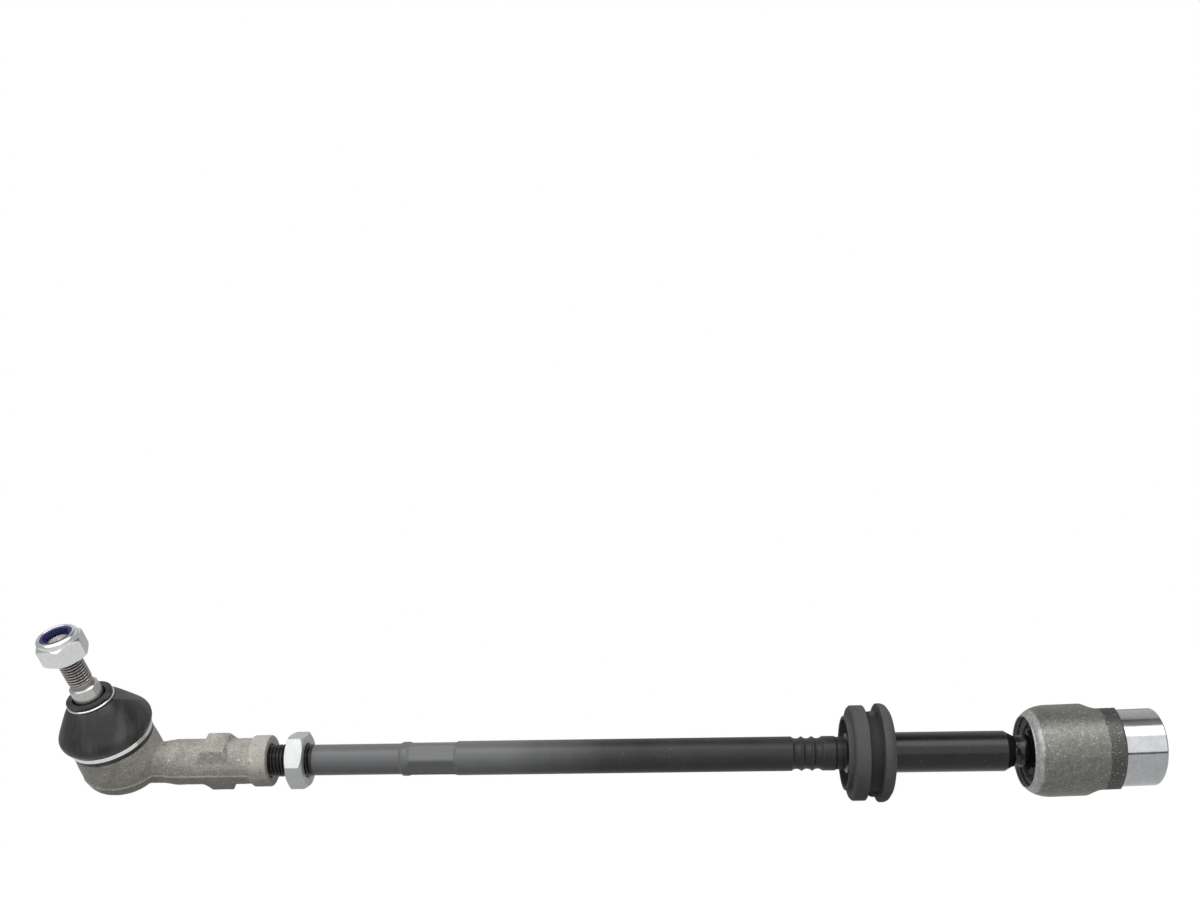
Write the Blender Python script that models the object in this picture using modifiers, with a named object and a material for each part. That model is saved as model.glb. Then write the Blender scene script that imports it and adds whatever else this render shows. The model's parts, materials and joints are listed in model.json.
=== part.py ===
"""Tie rod with an outer ball joint and a threaded rack joint, at real size.

Metres, +Z up. The origin is the centre of the rack joint's threaded mouth and +X points out of that
mouth, so the rod runs towards -X. A piece turned about the rod has its stations along X. The outer
joint's pieces are turned about the stud axis, and their stations are measured from where that axis
crosses the rod.
"""
import math

import bmesh
import bpy
from mathutils import Matrix

MM = 0.001
COLLECTION = "tie_rod_end"

# ---------------------------------------------------------------- driving dimensions, millimetres
GAP = 0.3                    # running gap between neighbouring solids
ROUND_STEPS = 32             # facets of the large turned pieces
BAR_STEPS = 24               # facets of the bar and the stud

NOSE_R = 16.1                # rack joint: turned nose with the internal thread
NOSE_LENGTH = 17.5
NOSE_CHAMFER = 0.6
NOSE_FILLET = 0.8            # where the nose meets the barrel's shoulder
RACK_THREAD_R = 10.2         # minor radius of the M22 x 1.5 thread
RACK_THREAD_DEPTH = 16.0
RACK_THREAD_CHAMFER = 1.4
SHOULDER_R = 1.0             # rounding of the barrel's front edge
BARREL_R = 19.25
BARREL_END = -53.2           # plane of the mouth that the bar leaves through
BARREL_ROLL = (10.4, 6.5)    # half-axes of the rolled rear edge, along and across
BARREL_LIP = 0.5
RACK_MOUTH_R = 14.8
RACK_CAVITY_R = 15.7
RACK_CAVITY_FLOOR = -19.3
RACK_CAVITY_LIP = -51.0      # inner side of the rolled edge
RACK_FLAT_HALF = 16.7        # half of the distance across the two spanner flats
RACK_FLAT_START = -25.3      # where the flats end in the milling cutter's arc
RACK_CUTTER_R = 5.0
COCK = 1.5                   # tilt of the bar in the rack joint at rest, degrees

BAR_BALL_R = 13.3
BAR_BALL_X = -36.5
BAR_NECK_R = 5.9
BAR_R = 8.5                  # thick stretch that carries the bellows ring
BAR_CONE = (-57.0, -61.7)
BAR_STEP = -127.4
BAR_UNDERCUT = (-131.8, 6.9)
SHAFT_R = 7.3
SCALLOPS = (-139.6, -144.0, -148.4)
SCALLOP_DEPTH = 0.85
SCALLOP_HALF = 2.05
HEX_ZONE = (-293.0, -313.4)  # adjusting hexagon, 13 mm across flats
HEX_FLATS = 13.0
HEX_ROLL = 8.0
BLANK_R = 6.6
THREAD_START = -354.1
THREAD_R = 6.85              # mean radius of the M14 x 1.5 thread
BAR_TIP = -402.0

BELLOWS_RING_BORE = BAR_R + GAP
BELLOWS_RING_FACE = -109.1   # side that faces the rack joint
BELLOWS_RING_R = 20.8
BELLOWS_GROOVE = (-114.6, -120.2)
BELLOWS_GROOVE_R = 17.4
BELLOWS_FLANGE = (-126.2, 20.1)          # outer flange: its end station and radius
BELLOWS_LIP = (-128.4, 14.2, 15.8)       # thin lip: its end station, inner and outer radius
BELLOWS_RECESS_FLOOR = -124.8

LOCK_NUT_FLATS = 22.0
LOCK_NUT_SPAN = (-364.5, -357.0)
LOCK_NUT_ROLL = 15.0
LOCK_NUT_BORE = 7.25

CROSSING_X = -437.2          # where the stud axis crosses the rod axis
ROLL = 42.0                  # the outer joint is rolled about the rod, degrees
LEAN = 7.1                   # the stud axis leans away from the rod's square, degrees
COLLAR_FACE = 64.5           # stations along the stem, from the crossing
COLLAR_R = 11.05
COLLAR_LENGTH = 7.4
STEM_R = 9.85
STEM_BORE_R = 7.2
STEM_BORE_DEPTH = 36.0
PAD_CENTRE = 41.9
PAD_FLATS = 21.8             # across the two spanner pads
PAD_TOP = (9.4, 12.0)
PAD_FOOT = (15.0, 17.0)
PAD_FOOT_HEIGHT = 4.5        # distance of a pad's foot from the stem's axis

BALL_R = 10.5
BALL_S = 5.0                 # ball centre, along the stud axis
BOWL_RIM = 17.6
BOWL_RIM_R = 14.6
BOWL_SHOULDER = 12.7         # where the rim steps out to the bowl
BOWL_R = 17.3
BOWL_FLOOR = -11.2
SEAT_R = 12.4
SEAT_FLOOR = -8.0
STUD_NECK_R = 5.2
TAPER = ((34.6, 6.5), (43.8, 5.8))
STUD_THREAD_R = 4.88         # mean radius of the M10 x 1.25 thread
STUD_END = 66.4
NUT_FLATS = 17.0
NUT_SPAN = (58.6, 66.6)
NUT_TOP = 69.2
NUT_ROLL = 18.0
NUT_CROWN_R = 8.25
NUT_BORE = 5.2
NUT_SEAT = 66.0              # floor of the nylon ring's recess
BOOT_TOP = 38.0
BOOT_R = 19.3
BOOT_CUFF = 13.2             # lower end of the boot, on the bowl's rim
LOWER_CLIP = (15.2, 17.0, 17.2)          # low and high stations, outer radius
UPPER_CLIP = (36.0, 9.4, 0.4)            # station, ring radius, wire radius

for old in list(bpy.data.objects):
    bpy.data.objects.remove(old, do_unlink=True)

parts = bpy.data.collections.new(COLLECTION)
cutters = bpy.data.collections.new(COLLECTION + "_cutters")
bpy.context.scene.collection.children.link(parts)
bpy.context.scene.collection.children.link(cutters)


# ---------------------------------------------------------------- frames
def frame(name, parent=None, location=(0, 0, 0), rotation=(0, 0, 0)):
    """An empty that holds a group of pieces; location in millimetres, rotation in degrees."""
    empty = bpy.data.objects.new(name, None)
    empty.empty_display_size = 0.01
    empty.parent = parent
    empty.location = [value * MM for value in location]
    empty.rotation_euler = [math.radians(value) for value in rotation]
    parts.objects.link(empty)
    return empty


rack_axis = frame("rack_axis", rotation=(0, 90, 0))                    # local Z is world +X
bar_tilt = frame("bar_tilt", location=(BAR_BALL_X, 0, 0), rotation=(0, COCK, 0))
bar_axis = frame("bar_axis", bar_tilt, location=(-BAR_BALL_X, 0, 0), rotation=(0, 90, 0))
outer_joint = frame("outer_joint", bar_tilt, location=(CROSSING_X - BAR_BALL_X, 0, 0),
                    rotation=(ROLL, 0, 0))
stem_axis = frame("stem_axis", outer_joint, rotation=(0, 90, 0))       # local Z runs to the collar
stud_axis = frame("stud_axis", outer_joint, rotation=(0, -LEAN, 0))    # local Z runs to the nut


# ---------------------------------------------------------------- helpers
def material(name, colour, roughness, metallic):
    made = bpy.data.materials.new(name)
    made.use_nodes = True
    shader = made.node_tree.nodes["Principled BSDF"]
    shader.inputs["Base Color"].default_value = (*colour, 1.0)
    shader.inputs["Roughness"].default_value = roughness
    shader.inputs["Metallic"].default_value = metallic
    return made


def place(obj, parent, cutter=False):
    (cutters if cutter else parts).objects.link(obj)
    obj.parent = parent
    if cutter:
        obj.hide_render = True
        obj.display_type = "WIRE"
    return obj


def arc(centre_s, centre_r, radius, start, end, count):
    """Points (station, radius) of an arc; the angle is measured from +station towards +radius."""
    points = []
    for index in range(count + 1):
        angle = math.radians(start + (end - start) * index / count)
        points.append((centre_s + radius * math.cos(angle), centre_r + radius * math.sin(angle)))
    return points


def turned(name, outline, parent, steps=ROUND_STEPS, closed=True, cutter=False):
    """A piece turned about its parent's Z, from (station, radius) points in millimetres.

    The outer side runs from the highest station to the lowest. A ring's outline is closed; a solid
    one starts and ends on the axis.
    """
    mesh = bpy.data.meshes.new(name)
    build = bmesh.new()
    verts = [build.verts.new((radius * MM, 0.0, station * MM)) for station, radius in outline]
    for first, second in zip(verts, verts[1:]):
        build.edges.new((first, second))
    if closed:
        build.edges.new((verts[-1], verts[0]))
    build.to_mesh(mesh)
    build.free()
    obj = place(bpy.data.objects.new(name, mesh), parent, cutter)
    screw = obj.modifiers.new("turn", "SCREW")
    screw.steps = steps
    screw.render_steps = steps
    screw.use_merge_vertices = True
    screw.merge_threshold = 0.00001
    screw.use_smooth_shade = True
    return obj


def prism(name, across_flats, low, high, parent, roll=0.0, cutter=False):
    """A hexagonal prism along its parent's Z, between two stations."""
    mesh = bpy.data.meshes.new(name)
    build = bmesh.new()
    corner = across_flats / math.sqrt(3.0) * MM
    bmesh.ops.create_cone(build, cap_ends=True, segments=6, radius1=corner, radius2=corner,
                          depth=(high - low) * MM)
    turn = Matrix.Rotation(math.radians(roll), 4, "Z")
    bmesh.ops.transform(build, verts=build.verts,
                        matrix=Matrix.Translation((0, 0, 0.5 * (low + high) * MM)) @ turn)
    build.to_mesh(mesh)
    build.free()
    return place(bpy.data.objects.new(name, mesh), parent, cutter)


def block(name, size, centre, parent, cutter=True):
    """A box in millimetres, with its size applied to the mesh."""
    mesh = bpy.data.meshes.new(name)
    build = bmesh.new()
    bmesh.ops.create_cube(build, size=1.0)
    bmesh.ops.scale(build, verts=build.verts, vec=[value * MM for value in size])
    bmesh.ops.translate(build, verts=build.verts, vec=[value * MM for value in centre])
    build.to_mesh(mesh)
    build.free()
    return place(bpy.data.objects.new(name, mesh), parent, cutter)


def bevel(obj, width, segments, axis):
    """Rounds the box edges that run along one axis."""
    build = bmesh.new()
    build.from_mesh(obj.data)
    across = [index for index in range(3) if index != axis]
    edges = [edge for edge in build.edges
             if all(abs(edge.verts[0].co[index] - edge.verts[1].co[index]) < 1e-6 for index in across)]
    bmesh.ops.bevel(build, geom=edges, offset=width * MM, offset_type="OFFSET", segments=segments,
                    profile=0.5, affect="EDGES", clamp_overlap=True)
    build.to_mesh(obj.data)
    build.free()
    return obj


def boolean(obj, operation, tool):
    made = obj.modifiers.new(operation.lower(), "BOOLEAN")
    made.operation = operation
    made.solver = "EXACT"
    made.object = tool
    return obj


def finish(obj, look):
    """Gives a piece its material."""
    obj.data.materials.clear()
    obj.data.materials.append(look)
    return obj


# ---------------------------------------------------------------- materials
FORGED = material("forged_steel", (0.20, 0.18, 0.15), 0.55, 0.9)
RACK_STEEL = material("rack_housing_steel", (0.21, 0.20, 0.18), 0.45, 0.95)
BLACK_BAR = material("black_phosphate", (0.035, 0.036, 0.038), 0.42, 0.6)
ZINC = material("bright_zinc", (0.72, 0.73, 0.72), 0.28, 1.0)
STUD_STEEL = material("stud_steel", (0.33, 0.31, 0.30), 0.35, 1.0)
BOOT_RUBBER = material("boot_rubber", (0.022, 0.023, 0.024), 0.45, 0.0)
RING_RUBBER = material("bellows_ring_rubber", (0.045, 0.046, 0.048), 0.8, 0.0)
CLIP_STEEL = material("clip_steel", (0.8, 0.8, 0.8), 0.2, 1.0)
NYLON = material("nylon_insert", (0.02, 0.025, 0.12), 0.45, 0.0)
SEAT_PLASTIC = material("seat_plastic", (0.75, 0.73, 0.66), 0.4, 0.0)
SPRING_STEEL = material("spring_steel", (0.16, 0.16, 0.17), 0.4, 1.0)


# ---------------------------------------------------------------- rack joint
def rack_joint_housing():
    """Forged barrel with a turned nose: a ball cavity behind, an internal thread in front."""
    outline = [(-RACK_THREAD_DEPTH, 0.0), (-RACK_THREAD_DEPTH, RACK_THREAD_R),
               (-RACK_THREAD_CHAMFER, RACK_THREAD_R), (0.0, RACK_THREAD_R + RACK_THREAD_CHAMFER),
               (0.0, NOSE_R - NOSE_CHAMFER), (-NOSE_CHAMFER, NOSE_R),
               (NOSE_FILLET - NOSE_LENGTH, NOSE_R), (-NOSE_LENGTH, NOSE_R + NOSE_FILLET)]
    outline += arc(-NOSE_LENGTH - SHOULDER_R, BARREL_R - SHOULDER_R, SHOULDER_R, 0, 90, 3)
    along, across = BARREL_ROLL
    roll = arc(0.0, 0.0, 1.0, 90, 155, 6)
    outline += [(BARREL_END + BARREL_LIP + along * (s - roll[-1][0]), BARREL_R - across * (1 - r))
                for s, r in roll]
    outline += [(BARREL_END, RACK_MOUTH_R + BARREL_LIP), (BARREL_END, RACK_MOUTH_R),
                (RACK_CAVITY_LIP, RACK_MOUTH_R),
                (RACK_CAVITY_LIP, RACK_CAVITY_R), (RACK_CAVITY_FLOOR, RACK_CAVITY_R),
                (RACK_CAVITY_FLOOR, 0.0)]
    housing = turned("rack_joint_housing", outline, rack_axis, closed=False)
    height = 2.0 * RACK_CUTTER_R
    length = 2.0 * (RACK_CUTTER_R - RACK_FLAT_START - NOSE_LENGTH)
    for side in (1, -1):
        centre = (RACK_FLAT_START - RACK_CUTTER_R + length / 2, 0.0,
                  side * (RACK_FLAT_HALF + height / 2))
        cutter = block(f"rack_flat_cutter_{side}", (length, 40.0, height), centre, None)
        bevel(cutter, RACK_CUTTER_R - 0.05, 9, axis=1)
        boolean(housing, "DIFFERENCE", cutter)
    return finish(housing, RACK_STEEL)


def rack_joint_shells():
    """The two seats that hold the bar's ball, with the disc spring that preloads them."""
    seat_r = BAR_BALL_R + GAP
    outer_r = RACK_CAVITY_R - GAP
    front_end = RACK_CAVITY_LIP + GAP
    seat_end = math.degrees(math.acos(-7.0 / seat_r))
    outline = [(BAR_BALL_X - 0.6, outer_r), (front_end, outer_r), (front_end, RACK_CAVITY_R - 2.5)]
    outline += arc(BAR_BALL_X, 0.0, seat_r, seat_end, 92.6, 6)
    finish(turned("rack_joint_front_shell", outline, rack_axis), SPRING_STEEL)

    back = BAR_BALL_X + BAR_BALL_R + 1.9
    pocket = 5.0
    start = math.degrees(math.acos(0.6 / seat_r))
    end = math.degrees(math.asin(pocket / seat_r))
    outline = [(back, pocket), (back, outer_r - 3.0), (back - 3.0, outer_r), (BAR_BALL_X + 0.6, outer_r)]
    outline += arc(BAR_BALL_X, 0.0, seat_r, start, end, 7)
    finish(turned("rack_joint_rear_shell", outline, rack_axis), SPRING_STEEL)

    low = back + GAP
    high = RACK_CAVITY_FLOOR - GAP
    thickness = 0.7
    outline = [(high, 5.5), (high, 7.0), (low + thickness, 12.0), (low, 12.0), (low, 11.0),
               (high - thickness, 5.5)]
    finish(turned("rack_joint_disc_spring", outline, rack_axis), SPRING_STEEL)


def tie_rod():
    """The bar: ball, neck, thick stretch, scalloped grooves, adjusting hexagon and outer thread."""
    ball_end = math.degrees(math.acos(-math.sqrt(BAR_BALL_R ** 2 - BAR_NECK_R ** 2) / BAR_BALL_R))
    outline = arc(BAR_BALL_X, 0.0, BAR_BALL_R, 0, ball_end, 12)
    outline += [(BAR_CONE[0], BAR_NECK_R), (BAR_CONE[1], BAR_R), (BAR_STEP, BAR_R),
                (BAR_STEP - 0.8, BAR_UNDERCUT[1]), BAR_UNDERCUT, (BAR_UNDERCUT[0] - 0.6, SHAFT_R)]
    part_way = 1.1
    flank_r = SHAFT_R - 0.6 * SCALLOP_DEPTH
    for groove in SCALLOPS:
        outline += [(groove + SCALLOP_HALF, SHAFT_R), (groove + part_way, flank_r),
                    (groove, SHAFT_R - SCALLOP_DEPTH), (groove - part_way, flank_r)]
    outline += [(SCALLOPS[-1] - SCALLOP_HALF, SHAFT_R), (HEX_ZONE[1], SHAFT_R),
                (HEX_ZONE[1] - 1.2, BLANK_R), (THREAD_START, BLANK_R), (THREAD_START - 0.6, THREAD_R),
                (BAR_TIP + 1.5, THREAD_R), (BAR_TIP, THREAD_R - 1.5), (BAR_TIP, 0.0)]
    bar = turned("tie_rod", outline, bar_axis, steps=BAR_STEPS, closed=False)
    corner = HEX_FLATS / math.sqrt(3.0)
    thickness = 4.0
    for index in range(6):
        angle = math.radians(60.0 * index + HEX_ROLL)
        distance = HEX_FLATS / 2 + thickness / 2
        cutter = block(f"hex_flat_cutter_{index}", (thickness, 2 * corner, HEX_ZONE[0] - HEX_ZONE[1]),
                       (0, 0, 0), bar_axis)
        cutter.location = (distance * math.cos(angle) * MM, distance * math.sin(angle) * MM,
                           0.5 * (HEX_ZONE[0] + HEX_ZONE[1]) * MM)
        cutter.rotation_euler = (0, 0, angle)
        boolean(bar, "DIFFERENCE", cutter)
    return finish(bar, BLACK_BAR)


def bellows_ring():
    """Rubber ring that the rack bellows is clamped on, with a groove between two flanges."""
    bore = BELLOWS_RING_BORE
    face, outer_r = BELLOWS_RING_FACE, BELLOWS_RING_R
    high, low = BELLOWS_GROOVE
    flange_end, flange_r = BELLOWS_FLANGE
    lip_end, lip_inner, lip_outer = BELLOWS_LIP
    bevel_size = 0.8
    outline = [(face, bore), (face, outer_r - 3.2), (face - 0.7, outer_r - 1.2), (face - 2.5, outer_r),
               (high, outer_r), (high, BELLOWS_GROOVE_R), (low, BELLOWS_GROOVE_R), (low, flange_r),
               (flange_end + bevel_size, flange_r), (flange_end, flange_r - bevel_size),
               (flange_end, lip_outer), (lip_end, lip_outer - 0.1), (lip_end, lip_inner),
               (BELLOWS_RECESS_FLOOR, lip_inner), (BELLOWS_RECESS_FLOOR, bore)]
    return finish(turned("bellows_ring", outline, bar_axis), RING_RUBBER)


def lock_nut():
    """Hexagon nut that clamps the outer housing on the bar's thread."""
    low, high = LOCK_NUT_SPAN
    nut = prism("lock_nut", LOCK_NUT_FLATS, low, high, bar_axis, LOCK_NUT_ROLL)
    round_r = LOCK_NUT_FLATS / 2 - 0.4
    rise = 1.3
    lens = [(high + 0.1, 0.0), (high + 0.1, round_r), (high - rise, round_r + 2.4),
            (low + rise, round_r + 2.4), (low - 0.1, round_r), (low - 0.1, 0.0)]
    boolean(nut, "INTERSECT", turned("lock_nut_lens", lens, bar_axis, closed=False, cutter=True))
    hole = [(high + 1, 0.0), (high + 1, LOCK_NUT_BORE + 1.6), (high - 0.7, LOCK_NUT_BORE),
            (low + 0.7, LOCK_NUT_BORE), (low - 1, LOCK_NUT_BORE + 1.6), (low - 1, 0.0)]
    boolean(nut, "DIFFERENCE", turned("lock_nut_hole", hole, bar_axis, closed=False, cutter=True))
    return finish(nut, ZINC)


# ---------------------------------------------------------------- outer joint
def outer_housing():
    """Forged bowl with its stem, two spanner pads, a collar and the bore for the bar's thread."""
    outline = [(BOWL_RIM, 0.0), (BOWL_RIM, BOWL_RIM_R - 0.5), (BOWL_RIM - 0.5, BOWL_RIM_R),
               (BOWL_SHOULDER, BOWL_RIM_R), (BOWL_SHOULDER, BOWL_R - 0.7),
               (BOWL_SHOULDER - 0.6, BOWL_R - 0.4), (6.0, BOWL_R), (0.5, BOWL_R - 0.1)]
    outline += [(-2.6, 16.5), (-5.2, 14.8), (-7.8, 11.6), (BOWL_FLOOR + 1.0, 7.0), (BOWL_FLOOR, 0.0)]
    bowl = turned("outer_housing", outline, stud_axis, closed=False)

    collar = COLLAR_FACE - COLLAR_LENGTH
    stem = [(COLLAR_FACE, 0.0), (COLLAR_FACE, COLLAR_R - 0.8), (COLLAR_FACE - 0.8, COLLAR_R),
            (collar + 0.7, COLLAR_R), (collar, COLLAR_R - 0.7), (collar - 1.6, STEM_R),
            (23.0, STEM_R), (17.5, STEM_R - 0.9), (0.0, STEM_R - 0.9), (0.0, 0.0)]
    boolean(bowl, "UNION", turned("stem", stem, stem_axis, steps=32, closed=False, cutter=True))
    for side in (1, -1):
        mesh = bpy.data.meshes.new("pad")
        build = bmesh.new()
        bmesh.ops.create_cube(build, size=1.0)
        for vert in build.verts:
            size = PAD_TOP if vert.co.z > 0 else PAD_FOOT
            vert.co.x = PAD_CENTRE * MM + vert.co.x * size[0] * MM
            vert.co.y = vert.co.y * size[1] * MM
            vert.co.z = (PAD_FLATS / 2 if vert.co.z > 0 else PAD_FOOT_HEIGHT) * MM
        if side < 0:
            bmesh.ops.scale(build, verts=build.verts, vec=(1, 1, -1))
            bmesh.ops.reverse_faces(build, faces=build.faces)
        build.to_mesh(mesh)
        build.free()
        pad = place(bpy.data.objects.new(f"pad_{side}", mesh), outer_joint, cutter=True)
        boolean(bowl, "UNION", pad)

    ring_r = 13.5
    hollow = [(BOWL_RIM + 1, 0.0), (BOWL_RIM + 1, 12.6), (17.0, 12.6), (17.0, ring_r), (14.3, ring_r),
              (14.3, SEAT_R), (SEAT_FLOOR, SEAT_R), (SEAT_FLOOR, 0.0)]
    boolean(bowl, "DIFFERENCE", turned("ball_cavity", hollow, stud_axis, closed=False, cutter=True))
    bore = [(COLLAR_FACE + 1, 0.0), (COLLAR_FACE + 1, STEM_BORE_R + 1.8),
            (COLLAR_FACE - 0.8, STEM_BORE_R), (COLLAR_FACE - STEM_BORE_DEPTH, STEM_BORE_R),
            (COLLAR_FACE - STEM_BORE_DEPTH - 3.0, 0.0)]
    boolean(bowl, "DIFFERENCE", turned("stem_bore", bore, stem_axis, steps=32, closed=False,
                                       cutter=True))
    return finish(bowl, FORGED)


def outer_seat():
    """What holds the stud's ball in the bowl: two plastic shells, a disc spring and a steel ring."""
    seat_r = BALL_R + GAP
    outer_r = SEAT_R - GAP
    top = 14.0
    seat_end = math.degrees(math.acos(5.2 / seat_r))
    outline = [(top, 11.0), (top, outer_r), (BALL_S + 0.4, outer_r)]
    outline += arc(BALL_S, 0.0, seat_r, 88.0, seat_end, 5)
    finish(turned("outer_upper_shell", outline, stud_axis), SEAT_PLASTIC)

    floor = -6.1
    pocket = 5.0
    end = 180.0 - math.degrees(math.asin(pocket / seat_r))
    outline = [(BALL_S - 0.4, outer_r), (floor, outer_r), (floor, pocket)]
    outline += arc(BALL_S, 0.0, seat_r, end, 92.0, 7)
    finish(turned("outer_lower_shell", outline, stud_axis), SEAT_PLASTIC)

    outline = [(floor - GAP, 7.5), (floor - GAP, 9.0), (floor - 1.1, 12.0), (floor - 1.6, 12.0),
               (floor - 1.6, 11.0), (floor - 0.9, 7.5)]
    finish(turned("outer_disc_spring", outline, stud_axis), SPRING_STEEL)

    outline = [(16.7, 11.3), (16.7, 13.2), (14.6, 13.2), (14.6, 11.3)]
    finish(turned("outer_retaining_ring", outline, stud_axis), SPRING_STEEL)


def ball_stud():
    """Ball, neck, taper and threaded end in one piece."""
    start = math.degrees(math.acos(math.sqrt(BALL_R ** 2 - STUD_NECK_R ** 2) / BALL_R))
    outline = [(STUD_END, 0.0), (STUD_END, STUD_THREAD_R - 1.1), (STUD_END - 1.1, STUD_THREAD_R),
               (TAPER[1][0] + 0.6, STUD_THREAD_R), (TAPER[1][0], TAPER[1][1]), (TAPER[0][0], TAPER[0][1]),
               (28.0, TAPER[0][1]), (22.0, STUD_NECK_R)]
    outline += arc(BALL_S, 0.0, BALL_R, start, 180, 12)
    return finish(turned("ball_stud", outline, stud_axis, steps=32, closed=False), STUD_STEEL)


def dust_boot():
    """Rubber boot from the bowl's rim up to the stud's taper, with a groove for each clip."""
    neck_bore = TAPER[0][1] + GAP
    cuff_bore = BOWL_RIM_R + GAP
    outer = [(BOOT_TOP, 8.8), (BOOT_TOP - 0.4, 9.4), (36.7, 9.4), (36.5, 8.7), (35.5, 8.7),
             (35.2, 9.9), (30.5, 13.8), (26.5, 16.6), (23.8, BOOT_R - 0.7), (21.6, BOOT_R),
             (19.0, BOOT_R - 0.3), (17.4, 18.0), (17.2, 16.4), (15.0, 16.4), (14.8, 17.0),
             (BOOT_CUFF, 17.0)]
    inner = [(BOOT_CUFF - 0.2, cuff_bore), (18.2, cuff_bore), (19.4, 17.2), (21.6, 17.5),
             (23.4, 17.0), (26.5, 14.8), (30.5, 11.8), (34.6, neck_bore), (BOOT_TOP, neck_bore)]
    return finish(turned("dust_boot", outer + inner, stud_axis), BOOT_RUBBER)


def boot_clips():
    """Flat lower clip and round-wire upper clip."""
    low, high, outer_r = LOWER_CLIP
    inner_r = outer_r - 0.5
    outline = [(high, inner_r), (high, outer_r), (low, outer_r), (low, inner_r)]
    finish(turned("boot_lower_clip", outline, stud_axis), CLIP_STEEL)
    station, ring_r, wire_r = UPPER_CLIP
    outline = arc(station, ring_r, wire_r, 0, 300, 5)
    finish(turned("boot_upper_clip", outline, stud_axis), CLIP_STEEL)


def stud_nut():
    """Self-locking hexagon nut whose crown holds a nylon ring."""
    low, high = NUT_SPAN
    nut = prism("stud_nut", NUT_FLATS, low, high, stud_axis, NUT_ROLL)
    round_r = NUT_FLATS / 2 + 0.1
    lens = [(high + 0.1, 0.0), (high + 0.1, round_r), (high - 0.9, round_r + 1.7),
            (low + 1.2, round_r + 2.2), (low - 0.1, round_r), (low - 0.1, 0.0)]
    boolean(nut, "INTERSECT", turned("stud_nut_lens", lens, stud_axis, closed=False, cutter=True))
    crown = [(NUT_TOP, 0.0), (NUT_TOP, NUT_CROWN_R - 1.0), (NUT_TOP - 0.9, NUT_CROWN_R),
             (high - 1.0, NUT_CROWN_R), (high - 1.0, 0.0)]
    boolean(nut, "UNION", turned("stud_nut_crown", crown, stud_axis, closed=False, cutter=True))
    hole = [(NUT_TOP + 1, 0.0), (NUT_TOP + 1, 6.2), (NUT_TOP - 0.3, 6.2), (NUT_TOP - 0.3, 6.7),
            (NUT_SEAT, 6.7), (NUT_SEAT, NUT_BORE), (low + 0.7, NUT_BORE), (low - 1, NUT_BORE + 1.4),
            (low - 1, 0.0)]
    boolean(nut, "DIFFERENCE", turned("stud_nut_hole", hole, stud_axis, closed=False, cutter=True))
    finish(nut, ZINC)
    outline = [(NUT_TOP - 0.6, NUT_BORE), (NUT_TOP - 0.6, 6.4), (NUT_SEAT + GAP, 6.4),
               (NUT_SEAT + GAP, NUT_BORE)]
    finish(turned("stud_nut_insert", outline, stud_axis), NYLON)


rack_joint_housing()
rack_joint_shells()
tie_rod()
bellows_ring()
lock_nut()
outer_housing()
outer_seat()
ball_stud()
dust_boot()
boot_clips()
stud_nut()
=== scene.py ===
"""The looks of a tie rod end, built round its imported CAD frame.

Lengths are in millimetres until a mesh is made. A turned piece has its stations along its frame's Z
and, as in the CAD, each outline runs down its outer side from the highest station to the lowest.
"""

import json
from math import acos, asin, cos, degrees, hypot, pi, radians, sin, sqrt, tan

import bmesh
import bpy
import numpy as np
from mathutils import Matrix, Vector, noise


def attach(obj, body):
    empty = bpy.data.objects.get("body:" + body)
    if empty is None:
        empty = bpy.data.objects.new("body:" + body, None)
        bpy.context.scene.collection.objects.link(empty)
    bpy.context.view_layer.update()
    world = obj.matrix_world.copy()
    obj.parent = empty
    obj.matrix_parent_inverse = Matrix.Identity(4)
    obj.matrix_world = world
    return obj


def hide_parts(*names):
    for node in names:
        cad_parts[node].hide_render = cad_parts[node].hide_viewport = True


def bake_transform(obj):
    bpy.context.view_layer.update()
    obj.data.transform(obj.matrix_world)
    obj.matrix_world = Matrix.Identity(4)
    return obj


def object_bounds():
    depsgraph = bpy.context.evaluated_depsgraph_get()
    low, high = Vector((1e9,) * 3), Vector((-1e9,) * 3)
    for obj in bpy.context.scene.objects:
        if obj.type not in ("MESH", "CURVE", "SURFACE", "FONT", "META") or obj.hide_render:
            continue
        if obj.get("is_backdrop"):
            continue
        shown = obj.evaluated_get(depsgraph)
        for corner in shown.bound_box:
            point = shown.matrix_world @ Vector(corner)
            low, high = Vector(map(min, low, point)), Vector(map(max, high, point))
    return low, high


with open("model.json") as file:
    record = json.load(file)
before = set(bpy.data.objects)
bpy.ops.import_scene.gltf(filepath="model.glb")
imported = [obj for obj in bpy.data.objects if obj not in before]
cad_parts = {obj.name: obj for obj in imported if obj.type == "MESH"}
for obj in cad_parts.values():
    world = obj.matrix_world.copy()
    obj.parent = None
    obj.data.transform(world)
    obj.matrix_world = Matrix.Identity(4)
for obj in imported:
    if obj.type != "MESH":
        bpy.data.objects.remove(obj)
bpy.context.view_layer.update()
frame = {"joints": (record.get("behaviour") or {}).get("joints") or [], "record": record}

MM = 0.001
FINE = 144  # facets of a turned piece
THREAD_STEPS = 96  # facets of a threaded piece
NUT_STEPS = 192  # facets of a nut's cutting tools
ROWS_PER_PITCH = 14
FORGING_VOXEL = 0.38  # the forging is remeshed at this size, then smoothed into fillets
FLASH_HEIGHT = 0.32
FLASH_WIDTH = 0.45

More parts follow.
